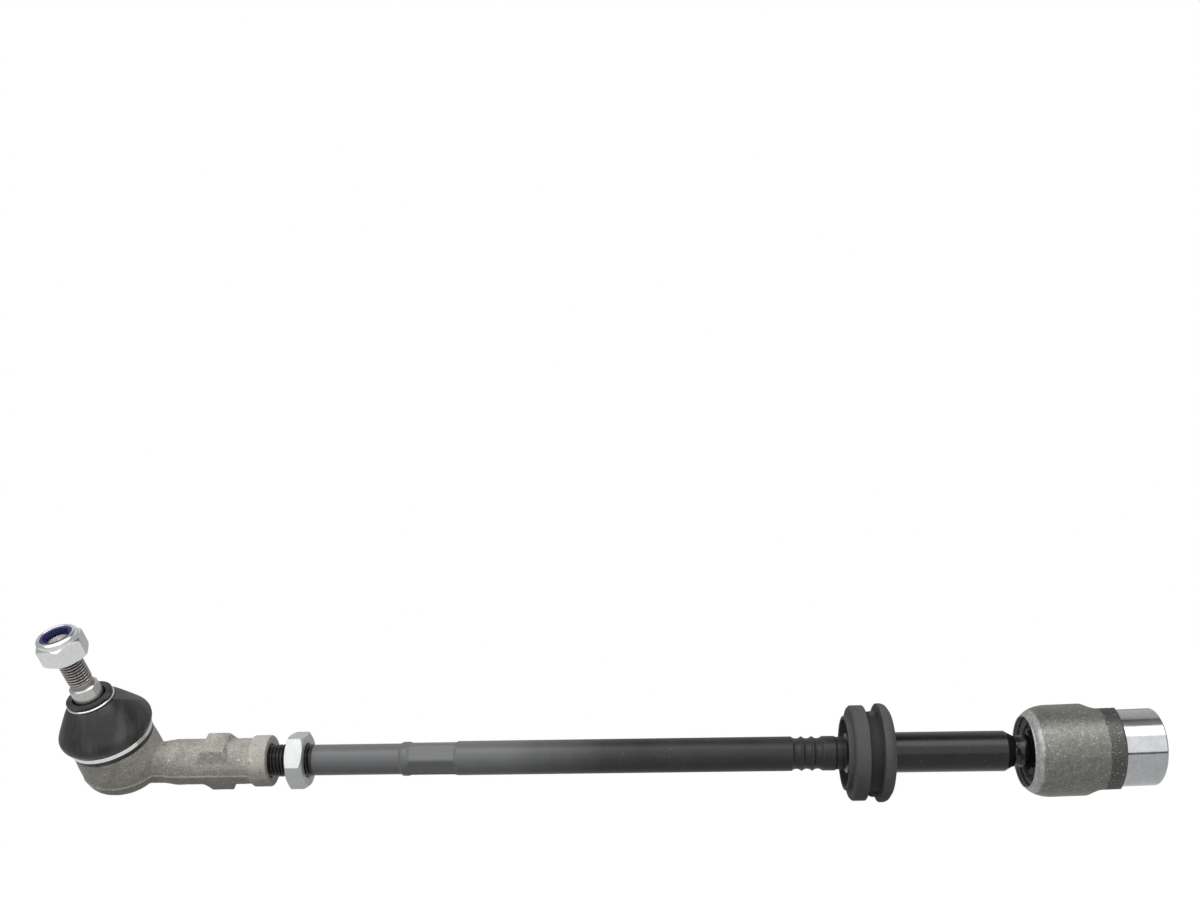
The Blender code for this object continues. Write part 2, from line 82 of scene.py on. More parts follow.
# ---- sizes shared with the CAD
NOSE_R = 16.1
NOSE_LENGTH = 17.5
NOSE_FILLET = 0.8
SHOULDER_R = 1.0
RACK_THREAD = (1.5, 10.2, 11.05)  # pitch, minor radius, major radius
RACK_THREAD_DEPTH = 16.0
BARREL_R = 19.25
BARREL_END = -53.2
BARREL_ROLL = (10.4, 6.5)
BARREL_LIP = 0.5
RACK_MOUTH_R = 14.8
RACK_CAVITY_R = 15.7
RACK_CAVITY_FLOOR = -19.3
RACK_CAVITY_LIP = -51.0
RACK_FLAT_HALF = 16.7
RACK_FLAT_START = -25.3
RACK_CUTTER_R = 5.0

BAR_BALL_R = 13.3
BAR_BALL_X = -36.5
BAR_NECK_R = 5.9
BAR_R = 8.5
BAR_CONE = (-57.0, -61.7)
BAR_STEP = -127.4
BAR_UNDERCUT = (-131.8, 6.9)
SHAFT_R = 7.3
SCALLOPS = (-139.6, -144.0, -148.4)
SCALLOP_DEPTH = 0.85
SCALLOP_HALF = 2.05
HEX_ZONE = (-293.0, -313.4)
HEX_APOTHEM = 6.5
HEX_ROLL = 8.0
BLANK_R = 6.6
THREAD_START = -354.1
BAR_THREAD = (1.5, 6.1, 6.98)
BAR_TIP = -402.0

RING_BACK = -109.1  # the bellows ring, from its bulging back to its front lip
RING_BACK_R = 20.8
RING_GROOVE = (-114.6, -120.2)
RING_FLOOR_R = 17.4
RING_FRONT_R = 20.1
RING_FRONT = -126.2
RING_LIP = -128.4
RING_RECESS = (-124.8, 14.2)
LUG_ANGLES = (65.0, -77.0)  # from the -Y side
LUG_R = 2.2
LUG_HEIGHT = 1.5

LOCK_NUT = (22.0, -364.5, -357.0, 15.0)  # across flats, low, high, roll
STUD_NUT = (17.0, 58.6, 66.6, 18.0)
NUT_TOP = 69.2
NUT_CROWN_R = 8.25
NUT_SEAT = 66.0

COLLAR_FACE = 64.5
COLLAR_R = 11.05
COLLAR_LENGTH = 7.4
STEM_R = 9.85
STEM_WAIST_R = 8.95
STEM_BORE_R = 7.2
STEM_BORE_DEPTH = 36.0
PAD_CENTRE = 41.9
PAD_HALF = 10.9
PAD_TOP = (9.4, 12.0)
PAD_FOOT = (15.0, 17.0)
PAD_FOOT_HEIGHT = 4.5

BALL_R = 10.5
BALL_S = 5.0
BOWL_RIM = 17.6
BOWL_RIM_R = 14.6
SEAT_R = 12.4
SEAT_FLOOR = -8.0
STUD_NECK_R = 5.2
TAPER = ((34.6, 6.5), (43.8, 5.8))
STUD_THREAD = (1.25, 4.2, 4.97)
STUD_END = 66.4
BOOT_TOP = 38.0
BOOT_LIP_R = 9.4
WIRE_GROOVE = (36.6, 35.4, 8.7)
CUFF_GROOVE = (17.2, 15.0, 16.4)
GAP = 0.3

# ---- frames, from the record's joints
JOINTS = {joint["name"]: joint for joint in frame["joints"]}
BODY_OF = {node: body for body, nodes in frame["record"]["behaviour"]["bodies"].items()
           for node in nodes}


def axes(z, y, origin):
    """A frame with the given Z, and the Y that lies nearest to the one given."""
    z = Vector(z).normalized()
    y = Vector(y)
    y = (y - z * y.dot(z)).normalized()
    made = Matrix((y.cross(z), y, z)).transposed().to_4x4()
    made.translation = origin
    return made


bar_way = Vector(JOINTS["toe_turn"]["axis"])
stud_way = Vector(JOINTS["stud_spin"]["axis"])
stud_side = Vector(JOINTS["stud_tilt"]["axis"])
bar_ball = Vector(JOINTS["rack_tilt"]["pos_m"])
crossing = Vector(JOINTS["stud_tilt"]["pos_m"]) - stud_way * BALL_S * MM

RACK = axes((1, 0, 0), (0, 1, 0), (0, 0, 0))
BAR = axes(bar_way, (0, 1, 0), bar_ball - bar_way * BAR_BALL_X * MM)
STUD = axes(stud_way, stud_side, crossing)
STEM = axes(bar_way, stud_side, crossing)


# ---- outlines
def arc(centre_s, centre_r, radius, start, end, count):
    """Points of an arc; the angle is measured from +station towards +radius."""
    angles = np.radians(np.linspace(start, end, count + 1))
    return [(centre_s + radius * cos(a), centre_r + radius * sin(a)) for a in angles]


def rounded(points, radius, closed=False, segments=4):
    """Rounds each corner; a point may carry its own radius. Each arc gets a near point on its flats."""
    result = []
    last = len(points) - 1
    for index, point in enumerate(points):
        here = Vector(point[:2])
        own = point[2] if len(point) > 2 else radius
        if own == 0 or (not closed and index in (0, last)):
            result.append(tuple(here))
            continue
        back = Vector(points[index - 1][:2]) - here
        on = Vector(points[(index + 1) % len(points)][:2]) - here
        turn = pi - back.angle(on)
        if turn < 0.03:
            result.append(tuple(here))
            continue
        tangent = min(own * tan(turn / 2), 0.4 * back.length, 0.4 * on.length)
        back.normalize()
        on.normalize()
        radius_here = tangent / tan(turn / 2)
        centre = here + (back + on).normalized() * (radius_here / cos(turn / 2))
        first = here + back * tangent - centre
        final = here + on * tangent - centre
        result.append(tuple(here + back * tangent * 1.2))
        for share in (step / segments for step in range(segments + 1)):
            off = first * sin((1 - share) * turn) + final * sin(share * turn)
            result.append(tuple(centre + off / sin(turn)))
        result.append(tuple(here + on * tangent * 1.2))
    return result


def curve(points, count):
    """A smooth curve through points, with count steps between neighbours."""
    ends = [points[0]] + list(points) + [points[-1]]
    knots = [np.array(point, float) for point in ends]
    result = []
    for a, b, c, d in zip(knots, knots[1:], knots[2:], knots[3:]):
        for t in np.linspace(0, 1, count, endpoint=False):
            result.append(tuple(0.5 * (2 * b + (c - a) * t + (2 * a - 5 * b + 4 * c - d) * t ** 2
                                       + (3 * b - a - 3 * c + d) * t ** 3)))
    return result + [tuple(points[-1])]


def run(high, low, radius, step):
    """Evenly spaced points at one radius."""
    return [(s, radius) for s in np.linspace(high, low, max(2, round((high - low) / step) + 1))]


# ---- shapes that vary round a piece
def screw_thread(spec, low, high, low_fade=0.0, high_fade=0.0, hole=False):
    """A right-hand thread between two stations, cut into a rod or, with hole, into a bore."""
    pitch, root, crest = spec
    crest_share, root_share = 0.14, 0.8
    mean = 0.5 * (root + crest)

    def shape(s, r, angle):
        phase = s / pitch - angle / (2 * pi)
        across = np.abs(phase % 1.0 - 0.5) * 2
        lift = np.clip((root_share - across) / (root_share - crest_share), 0, 1)
        fade = np.ones_like(s)
        if low_fade:
            fade = fade * np.clip((s - low) / low_fade, 0, 1)
        if high_fade:
            fade = fade * np.clip((high - s) / high_fade, 0, 1)
        ridge = mean + (root + (crest - root) * lift - mean) * fade
        here = (s >= low) & (s <= high)
        if hole:
            return s, np.where(here & (r < crest + 0.7), np.maximum(r, ridge), r)
        return s, np.where(here, np.minimum(r, ridge), r)

    return shape


def hexagon_zone(s, r, angle):
    """Six flats on the bar; they run out in rounded points at both ends."""
    run_out = 2.6
    sector = radians(60)
    off = (angle - radians(HEX_ROLL) + sector / 2) % sector - sector / 2
    over = np.maximum(s - HEX_ZONE[0] + 0.8, HEX_ZONE[1] + 1.6 - s)
    lift = 1.6 * np.clip(over / run_out, 0, 1) ** 1.5
    apothem = np.where(over > run_out, 99.0, HEX_APOTHEM + lift)
    return s, np.minimum(r, apothem / np.cos(off))


# ---- meshes
def link(name, data, matrix):
    obj = bpy.data.objects.new(name, data)
    bpy.context.scene.collection.objects.link(obj)
    obj.matrix_world = matrix
    return obj


def made_from(build, name):
    """Turns a bmesh into a mesh and frees it."""
    mesh = bpy.data.meshes.new(name)
    build.to_mesh(mesh)
    build.free()
    return mesh


def turned_mesh(name, outline, steps=FINE, closed=True, shape=None, look=None, start=0.0):
    """A mesh turned about Z; look(station, radius) picks each row's material slot."""
    rows = len(outline)
    s, r = (np.repeat([[point[i]] for point in outline], steps, axis=1) for i in (0, 1))
    angle = np.repeat([start + np.arange(steps) * 2 * pi / steps], rows, axis=0)
    if shape:
        s, r = shape(s, r, angle)
    verts = np.stack([r * np.cos(angle), r * np.sin(angle), s], -1).reshape(-1, 3) * MM
    upper = np.arange(rows if closed else rows - 1)[:, None]
    lower = (upper + 1) % rows
    k = np.arange(steps)[None, :]
    on = (k + 1) % steps
    faces = np.stack([upper * steps + k, lower * steps + k, lower * steps + on, upper * steps + on], -1)
    mesh = bpy.data.meshes.new(name)
    mesh.from_pydata(verts.tolist(), [], faces.reshape(-1, 4).tolist())
    if look:
        ends = np.array(outline)
        middle = 0.5 * (ends[upper[:, 0]] + ends[lower[:, 0]])
        slots = np.repeat([look(*each) for each in middle], steps)
        mesh.polygons.foreach_set("material_index", slots.astype(np.int32))
    if outline[0][1] == 0 or outline[-1][1] == 0:
        build = bmesh.new()
        build.from_mesh(mesh)
        on_axis = [vert for vert in build.verts if hypot(vert.co.x, vert.co.y) < 1e-9]
        bmesh.ops.remove_doubles(build, verts=on_axis, dist=1e-7)
        build.to_mesh(mesh)
        build.free()
    return mesh


def solid(name, outline, matrix, steps=FINE):
    """A turned tool whose outline starts and ends on the axis."""
    return link(name, turned_mesh(name, outline, steps, closed=False), matrix)


def shaded(obj, *materials, sharp=38.0):
    for each in materials:
        obj.data.materials.append(each)
    obj.data.shade_smooth()
    obj.data.set_sharp_from_angle(angle=radians(sharp))
    return obj


def turned(name, outline, matrix, *materials, **options):
    return shaded(link(name, turned_mesh(name, outline, **options), matrix), *materials)


def applied(obj):
    """Turns the evaluated modifiers into the object's own mesh."""
    bare = not obj.data.materials
    bpy.context.view_layer.update()
    graph = bpy.context.evaluated_depsgraph_get()
    mesh = bpy.data.meshes.new_from_object(obj.evaluated_get(graph))
    if bare:
        mesh.materials.clear()
    obj.modifiers.clear()
    obj.data = mesh


def cut(obj, operation, tool):
    """Applies one boolean and removes its tool."""
    made = obj.modifiers.new("cut", "BOOLEAN")
    made.operation = operation
    made.solver = "MANIFOLD"
    made.object = tool
    applied(obj)
    bpy.data.objects.remove(tool)


def stand_in(obj, node):
    """The fine piece takes its CAD node's place, on that node's body."""
    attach(obj, BODY_OF[node])
    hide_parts(node)


def piece(node, slot, outline, matrix, *materials, **options):
    """A turned piece that takes its CAD node's place."""
    stand_in(turned(node + "_surface", outline, matrix, *materials, **options), node)


# ---- material nodes
def grey(level, tint=(1.0, 1.0, 1.0)):
    return (level * tint[0], level * tint[1], level * tint[2], 1.0)


class Nodes:
    """Short calls that add nodes to one tree."""

    def __init__(self, tree):
        self.tree = tree

    def fill(self, node, **sockets):
        """Sets or links sockets, by name with _ for a space, or by i and their number."""
        for key, value in sockets.items():
            socket = node.inputs[int(key[1:]) if key[0] == "i" else key.replace("_", " ")]
            if isinstance(value, bpy.types.NodeSocket):
                self.tree.links.new(value, socket)
            else:
                socket.default_value = value
        return node

    def add(self, kind, settings=None, **sockets):
        made = self.tree.nodes.new("ShaderNode" + kind)
        for key, value in (settings or {}).items():
            setattr(made, key, value)
        return self.fill(made, **sockets)

    def maths(self, operation, first, second, clamp=False):
        settings = {"operation": operation, "use_clamp": clamp}
        return self.add("Math", settings, i0=first, i1=second).outputs[0]

    def vector(self, operation, output=0, **sockets):
        return self.add("VectorMath", {"operation": operation}, **sockets).outputs[output]

    def ranged(self, value, low, high, to_low, to_high, smooth=False):
        kind = {"interpolation_type": "SMOOTHSTEP"} if smooth else {}
        return self.add("MapRange", kind, Value=value, From_Min=low, From_Max=high, To_Min=to_low,
                        To_Max=to_high).outputs["Result"]

    def mixed(self, share, first, second):
        """A mix of two numbers."""
        return self.add("Mix", {"data_type": "FLOAT"}, i0=share, i2=first, i3=second).outputs[0]


class Skin(Nodes):
    """A Principled material whose colour, roughness and bump build up in layers. Sizes are in mm."""

    def __init__(self, name, metallic, **constant):
        self.material = bpy.data.materials.new(name)
        self.material.use_nodes = True
        super().__init__(self.material.node_tree)
        self.shader = self.tree.nodes["Principled BSDF"]
        self.fill(self.shader, Metallic=metallic, **constant)
        self.where = self.add("TexCoord").outputs["Object"]
        self.colour = self.rough = self.normal = None

    def noise(self, size, detail=4.0, roughness=0.6, where=None):
        """Noise whose features are about size across."""
        return self.add("TexNoise", Vector=where or self.where, Scale=1 / (size * MM), Detail=detail,
                        Roughness=roughness).outputs[0]

    def patches(self, size, low, high, least, most, detail=4.0, where=None):
        """Noise with its range from low to high stretched onto the one from least to most."""
        return self.ranged(self.noise(size, detail, where=where), low, high, least, most)

    def specks(self, size, amount, colour, roughness):
        """Scattered small marks; amount is their threshold, higher for fewer."""
        marks = self.ranged(self.noise(size, 2.0, 0.5), amount, amount + 0.05, 0.0, 1.0)
        return self.over(marks, colour, roughness)

    def grain(self, stops, size, roughness, bump, broad=None, broad_share=0.4):
        """Speckle of the given colours; broad adds a slower mottle to it."""
        fine = self.noise(size, 5.0, 0.65)
        value = fine
        if broad:
            value = self.mixed(broad_share, fine, self.noise(broad, 3.0, 0.55))
        value = self.ranged(value, 0.32, 0.68, 0.0, 1.0)
        ramp = self.add("ValToRGB", Fac=value)
        colours = ramp.color_ramp.elements
        for _ in stops[2:]:
            colours.new(0.5)
        for index, stop in enumerate(stops):
            colours[index].position = index / (len(stops) - 1)
            colours[index].color = stop
        self.colour = ramp.outputs["Color"]
        self.rough = self.ranged(value, 0.0, 1.0, *roughness)
        return self.bump(fine, bump)

    def bump(self, height, depth):
        sockets = {"Height": height, "Distance": depth * MM, "Strength": 1.0}
        if self.normal:
            sockets["Normal"] = self.normal
        self.normal = self.add("Bump", **sockets).outputs["Normal"]
        return self

    def dents(self, size, depth, detail=4.0):
        return self.bump(self.noise(size, detail), depth)

    def lines(self, size, depth, rough_change=0.0, colour_change=0.0):
        """Fine marks round the axis, as a cutting tool or a roller leaves them."""
        along = self.add("SeparateXYZ", Vector=self.where).outputs["Z"]
        wave = self.add("TexNoise", {"noise_dimensions": "1D"}, W=along, Scale=1 / (size * MM),
                        Detail=3.0, Roughness=0.7).outputs[0]
        self.bump(wave, depth)
        if rough_change:
            rougher = self.ranged(wave, 0.3, 0.7, -rough_change, rough_change)
            self.rough = self.maths("ADD", self.rough, rougher)
        if colour_change:
            lighter = self.ranged(wave, 0.3, 0.7, 1 - colour_change, 1 + colour_change)
            self.colour = self.vector("SCALE", Vector=self.colour, Scale=lighter)
        return self

    def band(self, axis, low, high, soft, wobble=0.0, wobble_size=3.0):
        """1 between two stations and 0 outside, with soft and uneven edges."""
        along = self.add("SeparateXYZ", Vector=self.where).outputs[axis]
        if wobble:
            shift = self.patches(wobble_size, 0.3, 0.7, -wobble * MM, wobble * MM)
            along = self.maths("ADD", along, shift)
        rise = self.ranged(along, (low - soft) * MM, (low + soft) * MM, 0.0, 1.0, True)
        fall = self.ranged(along, (high - soft) * MM, (high + soft) * MM, 1.0, 0.0, True)
        return self.maths("MULTIPLY", rise, fall)

    def edge(self, radius, low=0.04, high=0.2):
        """Near 1 on edges and 0 on open faces, broken up by noise."""
        soft = self.add("Bevel", {"samples": 4}, Radius=radius * MM).outputs["Normal"]
        plain = self.add("NewGeometry").outputs["Normal"]
        away = self.maths("SUBTRACT", 1.0, self.vector("DOT_PRODUCT", "Value", i0=soft, i1=plain))
        broken = self.patches(0.7, 0.35, 0.6, 0.25, 1.0)
        return self.maths("MULTIPLY", self.ranged(away, low, high, 0.0, 1.0), broken, True)

    def within(self, low, high):
        """1 nearer to the axis than the low radius, 0 beyond the high one."""
        place = self.add("SeparateXYZ", Vector=self.where).outputs
        flat = self.add("CombineXYZ", X=place["X"], Y=place["Y"]).outputs[0]
        away = self.vector("LENGTH", "Value", Vector=flat)
        return self.ranged(away, low * MM, high * MM, 1.0, 0.0)

    def over(self, share, colour=None, roughness=None, times=None):
        """Lays another colour or roughness over the surface where share, times a factor, is 1."""
        if times is not None:
            share = self.maths("MULTIPLY", share, times)
        if colour is not None:
            self.colour = self.add("Mix", {"data_type": "RGBA"}, i0=share, i6=self.colour,
                                   i7=colour).outputs[2]
        if roughness is not None:
            self.rough = self.mixed(share, self.rough, roughness)
        return self

    def done(self):
        self.fill(self.shader, Base_Color=self.colour, Roughness=self.rough, Normal=self.normal)
        return self.material


# ---- materials
COOL = (0.96, 0.98, 1.0)


def forged_steel():
    """Shot-blasted forging, warm grey and finely pitted, with a paler collar, painted shade in its
    creases, and painted highlights on its edges, partly wear, and on its flash line.
    """
    skin = Skin("forged_steel", 0.0, Specular_IOR_Level=0.25)
    skin.grain([grey(0.13, (1.0, 0.95, 0.88)), grey(0.29, (1.0, 0.97, 0.86)),
                grey(0.5, (1.0, 0.99, 0.88))], 0.5, (0.42, 0.6), 0.07, broad=6.0, broad_share=0.3)
    skin.dents(1.6, 0.14)
    collar = skin.band("Z", COLLAR_FACE - COLLAR_LENGTH - 0.4, COLLAR_FACE + 1, 0.3)
    skin.over(collar, grey(0.5, (1.0, 0.98, 0.88)), times=0.3)
    curved = skin.add("NewGeometry").outputs["Pointiness"]
    # Painted shade: darker in the forging's concave creases.
    skin.over(skin.ranged(curved, 0.49, 0.44, 0.0, 0.75), grey(0.09, (1.0, 0.94, 0.88)))
    # Paler on convex edges: partly wear, partly painted highlight.
    skin.over(skin.ranged(curved, 0.525, 0.57, 0.0, 0.7), grey(0.62, (1.0, 0.98, 0.92)), 0.36)
    # Painted highlight along the flash line, broken up in patches.
    flash_highlight_patches = skin.patches(1.2, 0.35, 0.6, 0.15, 0.8)
    skin.over(skin.band("X", -0.5, 0.5, 0.3), grey(0.5, (1.0, 0.98, 0.9)), 0.4, times=flash_highlight_patches)
    skin.specks(0.5, 0.66, grey(0.6, (1.0, 0.97, 0.9)), 0.35)
    return skin.specks(1.4, 0.70, grey(0.05), 0.7).done()


def machined_steel():
    skin = Skin("machined_steel", 0.9)
    skin.grain([grey(0.24, COOL), grey(0.42)], 1.2, (0.3, 0.45), 0.01, broad=5.0)
    return skin.lines(0.25, 0.02, 0.05, 0.15).done()


def rack_barrel():
    """Barrel skin: mottled grey-green, a paler rolled edge and a darker band by the flats."""
    skin = Skin("rack_barrel", 0.7)
    skin.grain([grey(0.085, (1.0, 0.98, 0.9)), grey(0.165, (0.99, 1.0, 0.93)),
                grey(0.28, (0.98, 1.0, 0.95))], 0.4, (0.34, 0.5), 0.03, broad=1.8)
    skin.over(skin.patches(9.0, 0.4, 0.7, 0.0, 0.5), grey(0.15, (1.05, 0.97, 0.82)))
    skin.dents(1.2, 0.04)
    dark = skin.band("Z", RACK_FLAT_START + 1.0, 1.0, 0.35, 0.8, 1.4)
    skin.over(dark, grey(0.06, (1.0, 0.98, 0.97)), 0.42, times=0.85)
    rim = skin.band("Z", BARREL_END - 1, -50.2, 0.5, 0.5, 2.0)
    pale = skin.patches(1.2, 0.35, 0.65, 0.35, 1.0)
    skin.over(rim, grey(0.46, (0.98, 1.0, 0.97)), 0.42, times=pale)
    # Paler edges: partly wear, partly painted highlight.
    skin.over(skin.edge(0.4), grey(0.6), 0.3)
    skin.specks(0.45, 0.655, grey(0.6), 0.3)
    return skin.specks(0.9, 0.70, grey(0.06, (1.0, 0.95, 0.9)), 0.5).done()


def turned_nose():
    skin = Skin("turned_nose", 1.0)
    skin.grain([grey(0.4, COOL), grey(0.52, COOL)], 2.5, (0.07, 0.12), 0.001, broad=9.0)
    skin.lines(0.12, 0.0012, 0.03, 0.12)
    return skin.specks(1.3, 0.72, grey(0.3), 0.35).done()


def milled_flat():
    skin = Skin("milled_flat", 0.9)
    skin.grain([grey(0.3), grey(0.5)], 0.8, (0.25, 0.4), 0.01)
    skin.lines(0.35, 0.03, 0.05, 0.2)
    dark = skin.band("Z", RACK_FLAT_START + 0.2, 1.0, 0.3, 0.3)
    return skin.over(dark, grey(0.06, (1.0, 0.98, 0.93)), 0.5).done()


def black_shaft():
    """Satin grey-black phosphate on the long shaft, with a painted reflection that makes it paler towards
    its thread.
    """
    skin = Skin("black_shaft", 0.1, Specular_IOR_Level=0.3)
    skin.grain([grey(0.015, COOL), grey(0.023), grey(0.034, COOL)], 0.6, (0.36, 0.5), 0.012, broad=14.0,
               broad_share=0.5)
    # Painted reflection of a lamp: paler and glossier from the tip to about station -250.
    skin.over(skin.band("Z", BAR_TIP, -250.0, 35.0, 6.0, 18.0), grey(0.13, COOL), 0.4)
    skin.lines(0.5, 0.006, 0.03, 0.1)
    # Paler edges: partly wear, partly painted highlight.
    skin.over(skin.edge(0.35), grey(0.2), 0.3)
    return skin.specks(0.7, 0.72, grey(0.22), 0.35).done()


def black_gloss():
    """Darker and glossier black of the thick stretch and the neck."""
    skin = Skin("black_gloss", 0.0, Specular_IOR_Level=0.38)
    skin.grain([grey(0.005, COOL), grey(0.012, COOL)], 0.8, (0.2, 0.28), 0.03, broad=9.0)
    return skin.specks(0.8, 0.71, grey(0.12), 0.3).done()


def black_thread():
    skin = Skin("black_thread", 0.4)
    skin.grain([grey(0.03), grey(0.07)], 0.7, (0.25, 0.4), 0.01)
    # Painted shade: darker towards the thread's roots.
    return skin.over(skin.within(6.3, 6.9), grey(0.006), 0.4).done()


def bright_zinc():
    skin = Skin("bright_zinc", 1.0)
    skin.grain([grey(0.72, (0.98, 1.0, 0.99)), grey(0.84, (0.99, 1.0, 0.99))], 1.5, (0.18, 0.28), 0.004,
               broad=6.0)
    skin.dents(3.5, 0.03, 2.0)
    skin.specks(0.5, 0.70, grey(0.55), 0.4)
    # Paler edges: partly wear, partly painted highlight.
    return skin.over(skin.edge(0.25, 0.01, 0.2), grey(0.92), 0.16).done()


def lock_zinc():
    """Whiter, duller zinc of the lock nut."""
    skin = Skin("lock_zinc", 0.6)
    skin.grain([grey(0.45, (0.96, 1.0, 0.98)), grey(0.59, (0.98, 1.0, 0.99))], 1.0, (0.34, 0.46), 0.008,
               broad=5.0)
    skin.dents(3.0, 0.03, 2.0)
    return skin.specks(0.6, 0.70, grey(0.5), 0.45).done()


def stud_steel():
    """Ground taper, with fine marks round it and a few brown specks."""
    skin = Skin("stud_steel", 1.0)
    skin.grain([grey(0.5, (1.0, 0.98, 0.97)), grey(0.62, (1.0, 0.99, 0.98))], 1.1, (0.2, 0.28), 0.003,
               broad=4.0, broad_share=0.5)
    skin.lines(0.3, 0.01, 0.04, 0.08)
    return skin.specks(0.8, 0.68, grey(0.2, (1.0, 0.95, 0.9)), 0.45).done()


def stud_thread():
    skin = Skin("stud_thread", 0.85)
    skin.grain([grey(0.44, (1.0, 0.92, 0.87)), grey(0.64, (1.0, 0.95, 0.92))], 0.6, (0.28, 0.4), 0.008)
    # Painted shade: darker towards the thread's roots.
    return skin.over(skin.within(4.3, 4.8), grey(0.03, (1.0, 0.9, 0.85)), 0.5).done()


def stud_end():
    skin = Skin("stud_end", 0.4)
    skin.grain([grey(0.3, (1.0, 0.95, 0.88)), grey(0.5, (1.0, 0.97, 0.92))], 0.6, (0.4, 0.55), 0.02)
    return skin.done()


def boot_rubber():
    """Satin rubber with a paler lip, painted highlights in stripes along the cone, and a little dust."""
    skin = Skin("boot_rubber", 0.0, Specular_IOR_Level=0.45)
    skin.grain([grey(0.004), grey(0.016, (0.98, 1.0, 0.98))], 0.9, (0.3, 0.42), 0.01, broad=8.0,
               broad_share=0.5)
    skin.over(skin.band("Z", WIRE_GROOVE[0], BOOT_TOP + 1, 0.2), grey(0.07), 0.5, times=0.7)
    skin.dents(6.0, 0.05, 2.0)
    # Painted highlights: pale stripes along the cone stand in for the lamps' reflections.
    squeezed = skin.vector("MULTIPLY", i0=skin.where, i1=(1.0, 1.0, 0.12))
    highlight_streaks = skin.patches(9.0, 0.44, 0.72, 0.0, 1.0, 3.0, squeezed)
    skin.over(highlight_streaks, grey(0.062, (0.98, 1.0, 0.99)), 0.5)
    skin.over(skin.patches(3.0, 0.5, 0.75, 0.0, 0.35), grey(0.05), 0.6)
    return skin.specks(0.5, 0.73, grey(0.14), 0.6).done()


def ring_rubber():
    """Dull dark rubber, with painted shade on the groove's floor."""
    skin = Skin("ring_rubber", 0.0, Specular_IOR_Level=0.3)
    skin.grain([grey(0.05, (1.0, 0.99, 1.0)), grey(0.085, (1.0, 0.99, 1.02))], 0.35, (0.72, 0.88), 0.03,
               broad=6.0)
    # Painted shade on the groove's floor, between the flanges.
    groove = skin.band("Z", RING_GROOVE[1], RING_GROOVE[0], 0.15)
    skin.over(groove, grey(0.02), 0.7, times=skin.within(RING_FLOOR_R + 0.2, 19.4))
    # Paler edges: partly wear, partly painted highlight.
    skin.over(skin.edge(0.4), grey(0.12), 0.7)
    return skin.specks(0.45, 0.72, grey(0.2), 0.8).done()


def clip_steel():
    skin = Skin("clip_steel", 1.0)
    return skin.grain([grey(0.75), grey(0.88)], 1.0, (0.12, 0.22), 0.003).lines(0.2, 0.004).done()


def nylon():
    skin = Skin("nylon", 0.0, Specular_IOR_Level=0.5)
    blues = [(0.006, 0.009, 0.07, 1.0), (0.014, 0.02, 0.13, 1.0)]
    return skin.grain(blues, 0.8, (0.3, 0.42), 0.01).done()


def seat_plastic():
    skin = Skin("seat_plastic", 0.0)
    creams = [grey(0.62, (1.0, 0.97, 0.88)), grey(0.74, (1.0, 0.98, 0.92))]
    return skin.grain(creams, 1.5, (0.32, 0.42), 0.01).done()


def spring_steel():
    skin = Skin("spring_steel", 1.0)
    skin.grain([grey(0.1), grey(0.2)], 1.0, (0.3, 0.42), 0.008)
    return skin.lines(0.3, 0.008, 0.04, 0.1).done()


def joint_shell():
    """The rack joint's seat, purple-grey and smeared with grease."""
    skin = Skin("joint_shell", 0.75)
    skin.grain([grey(0.26, (1.0, 0.96, 1.06)), grey(0.52, (1.0, 0.97, 1.05))], 0.9, (0.24, 0.4), 0.02,
               broad=4.0)
    return skin.over(skin.patches(4.0, 0.5, 0.58, 0.0, 1.0, 3.0), grey(0.03), 0.16).done()


def grease(name, low, high):
    skin = Skin(name, 0.0)
    skin.grain([grey(low), grey(high)], 1.5, (0.16, 0.34), 0.05)
    skin.dents(1.6, 0.3, 3.0)
    return skin.specks(0.7, 0.66, grey(high * 3.0), 0.3).done()


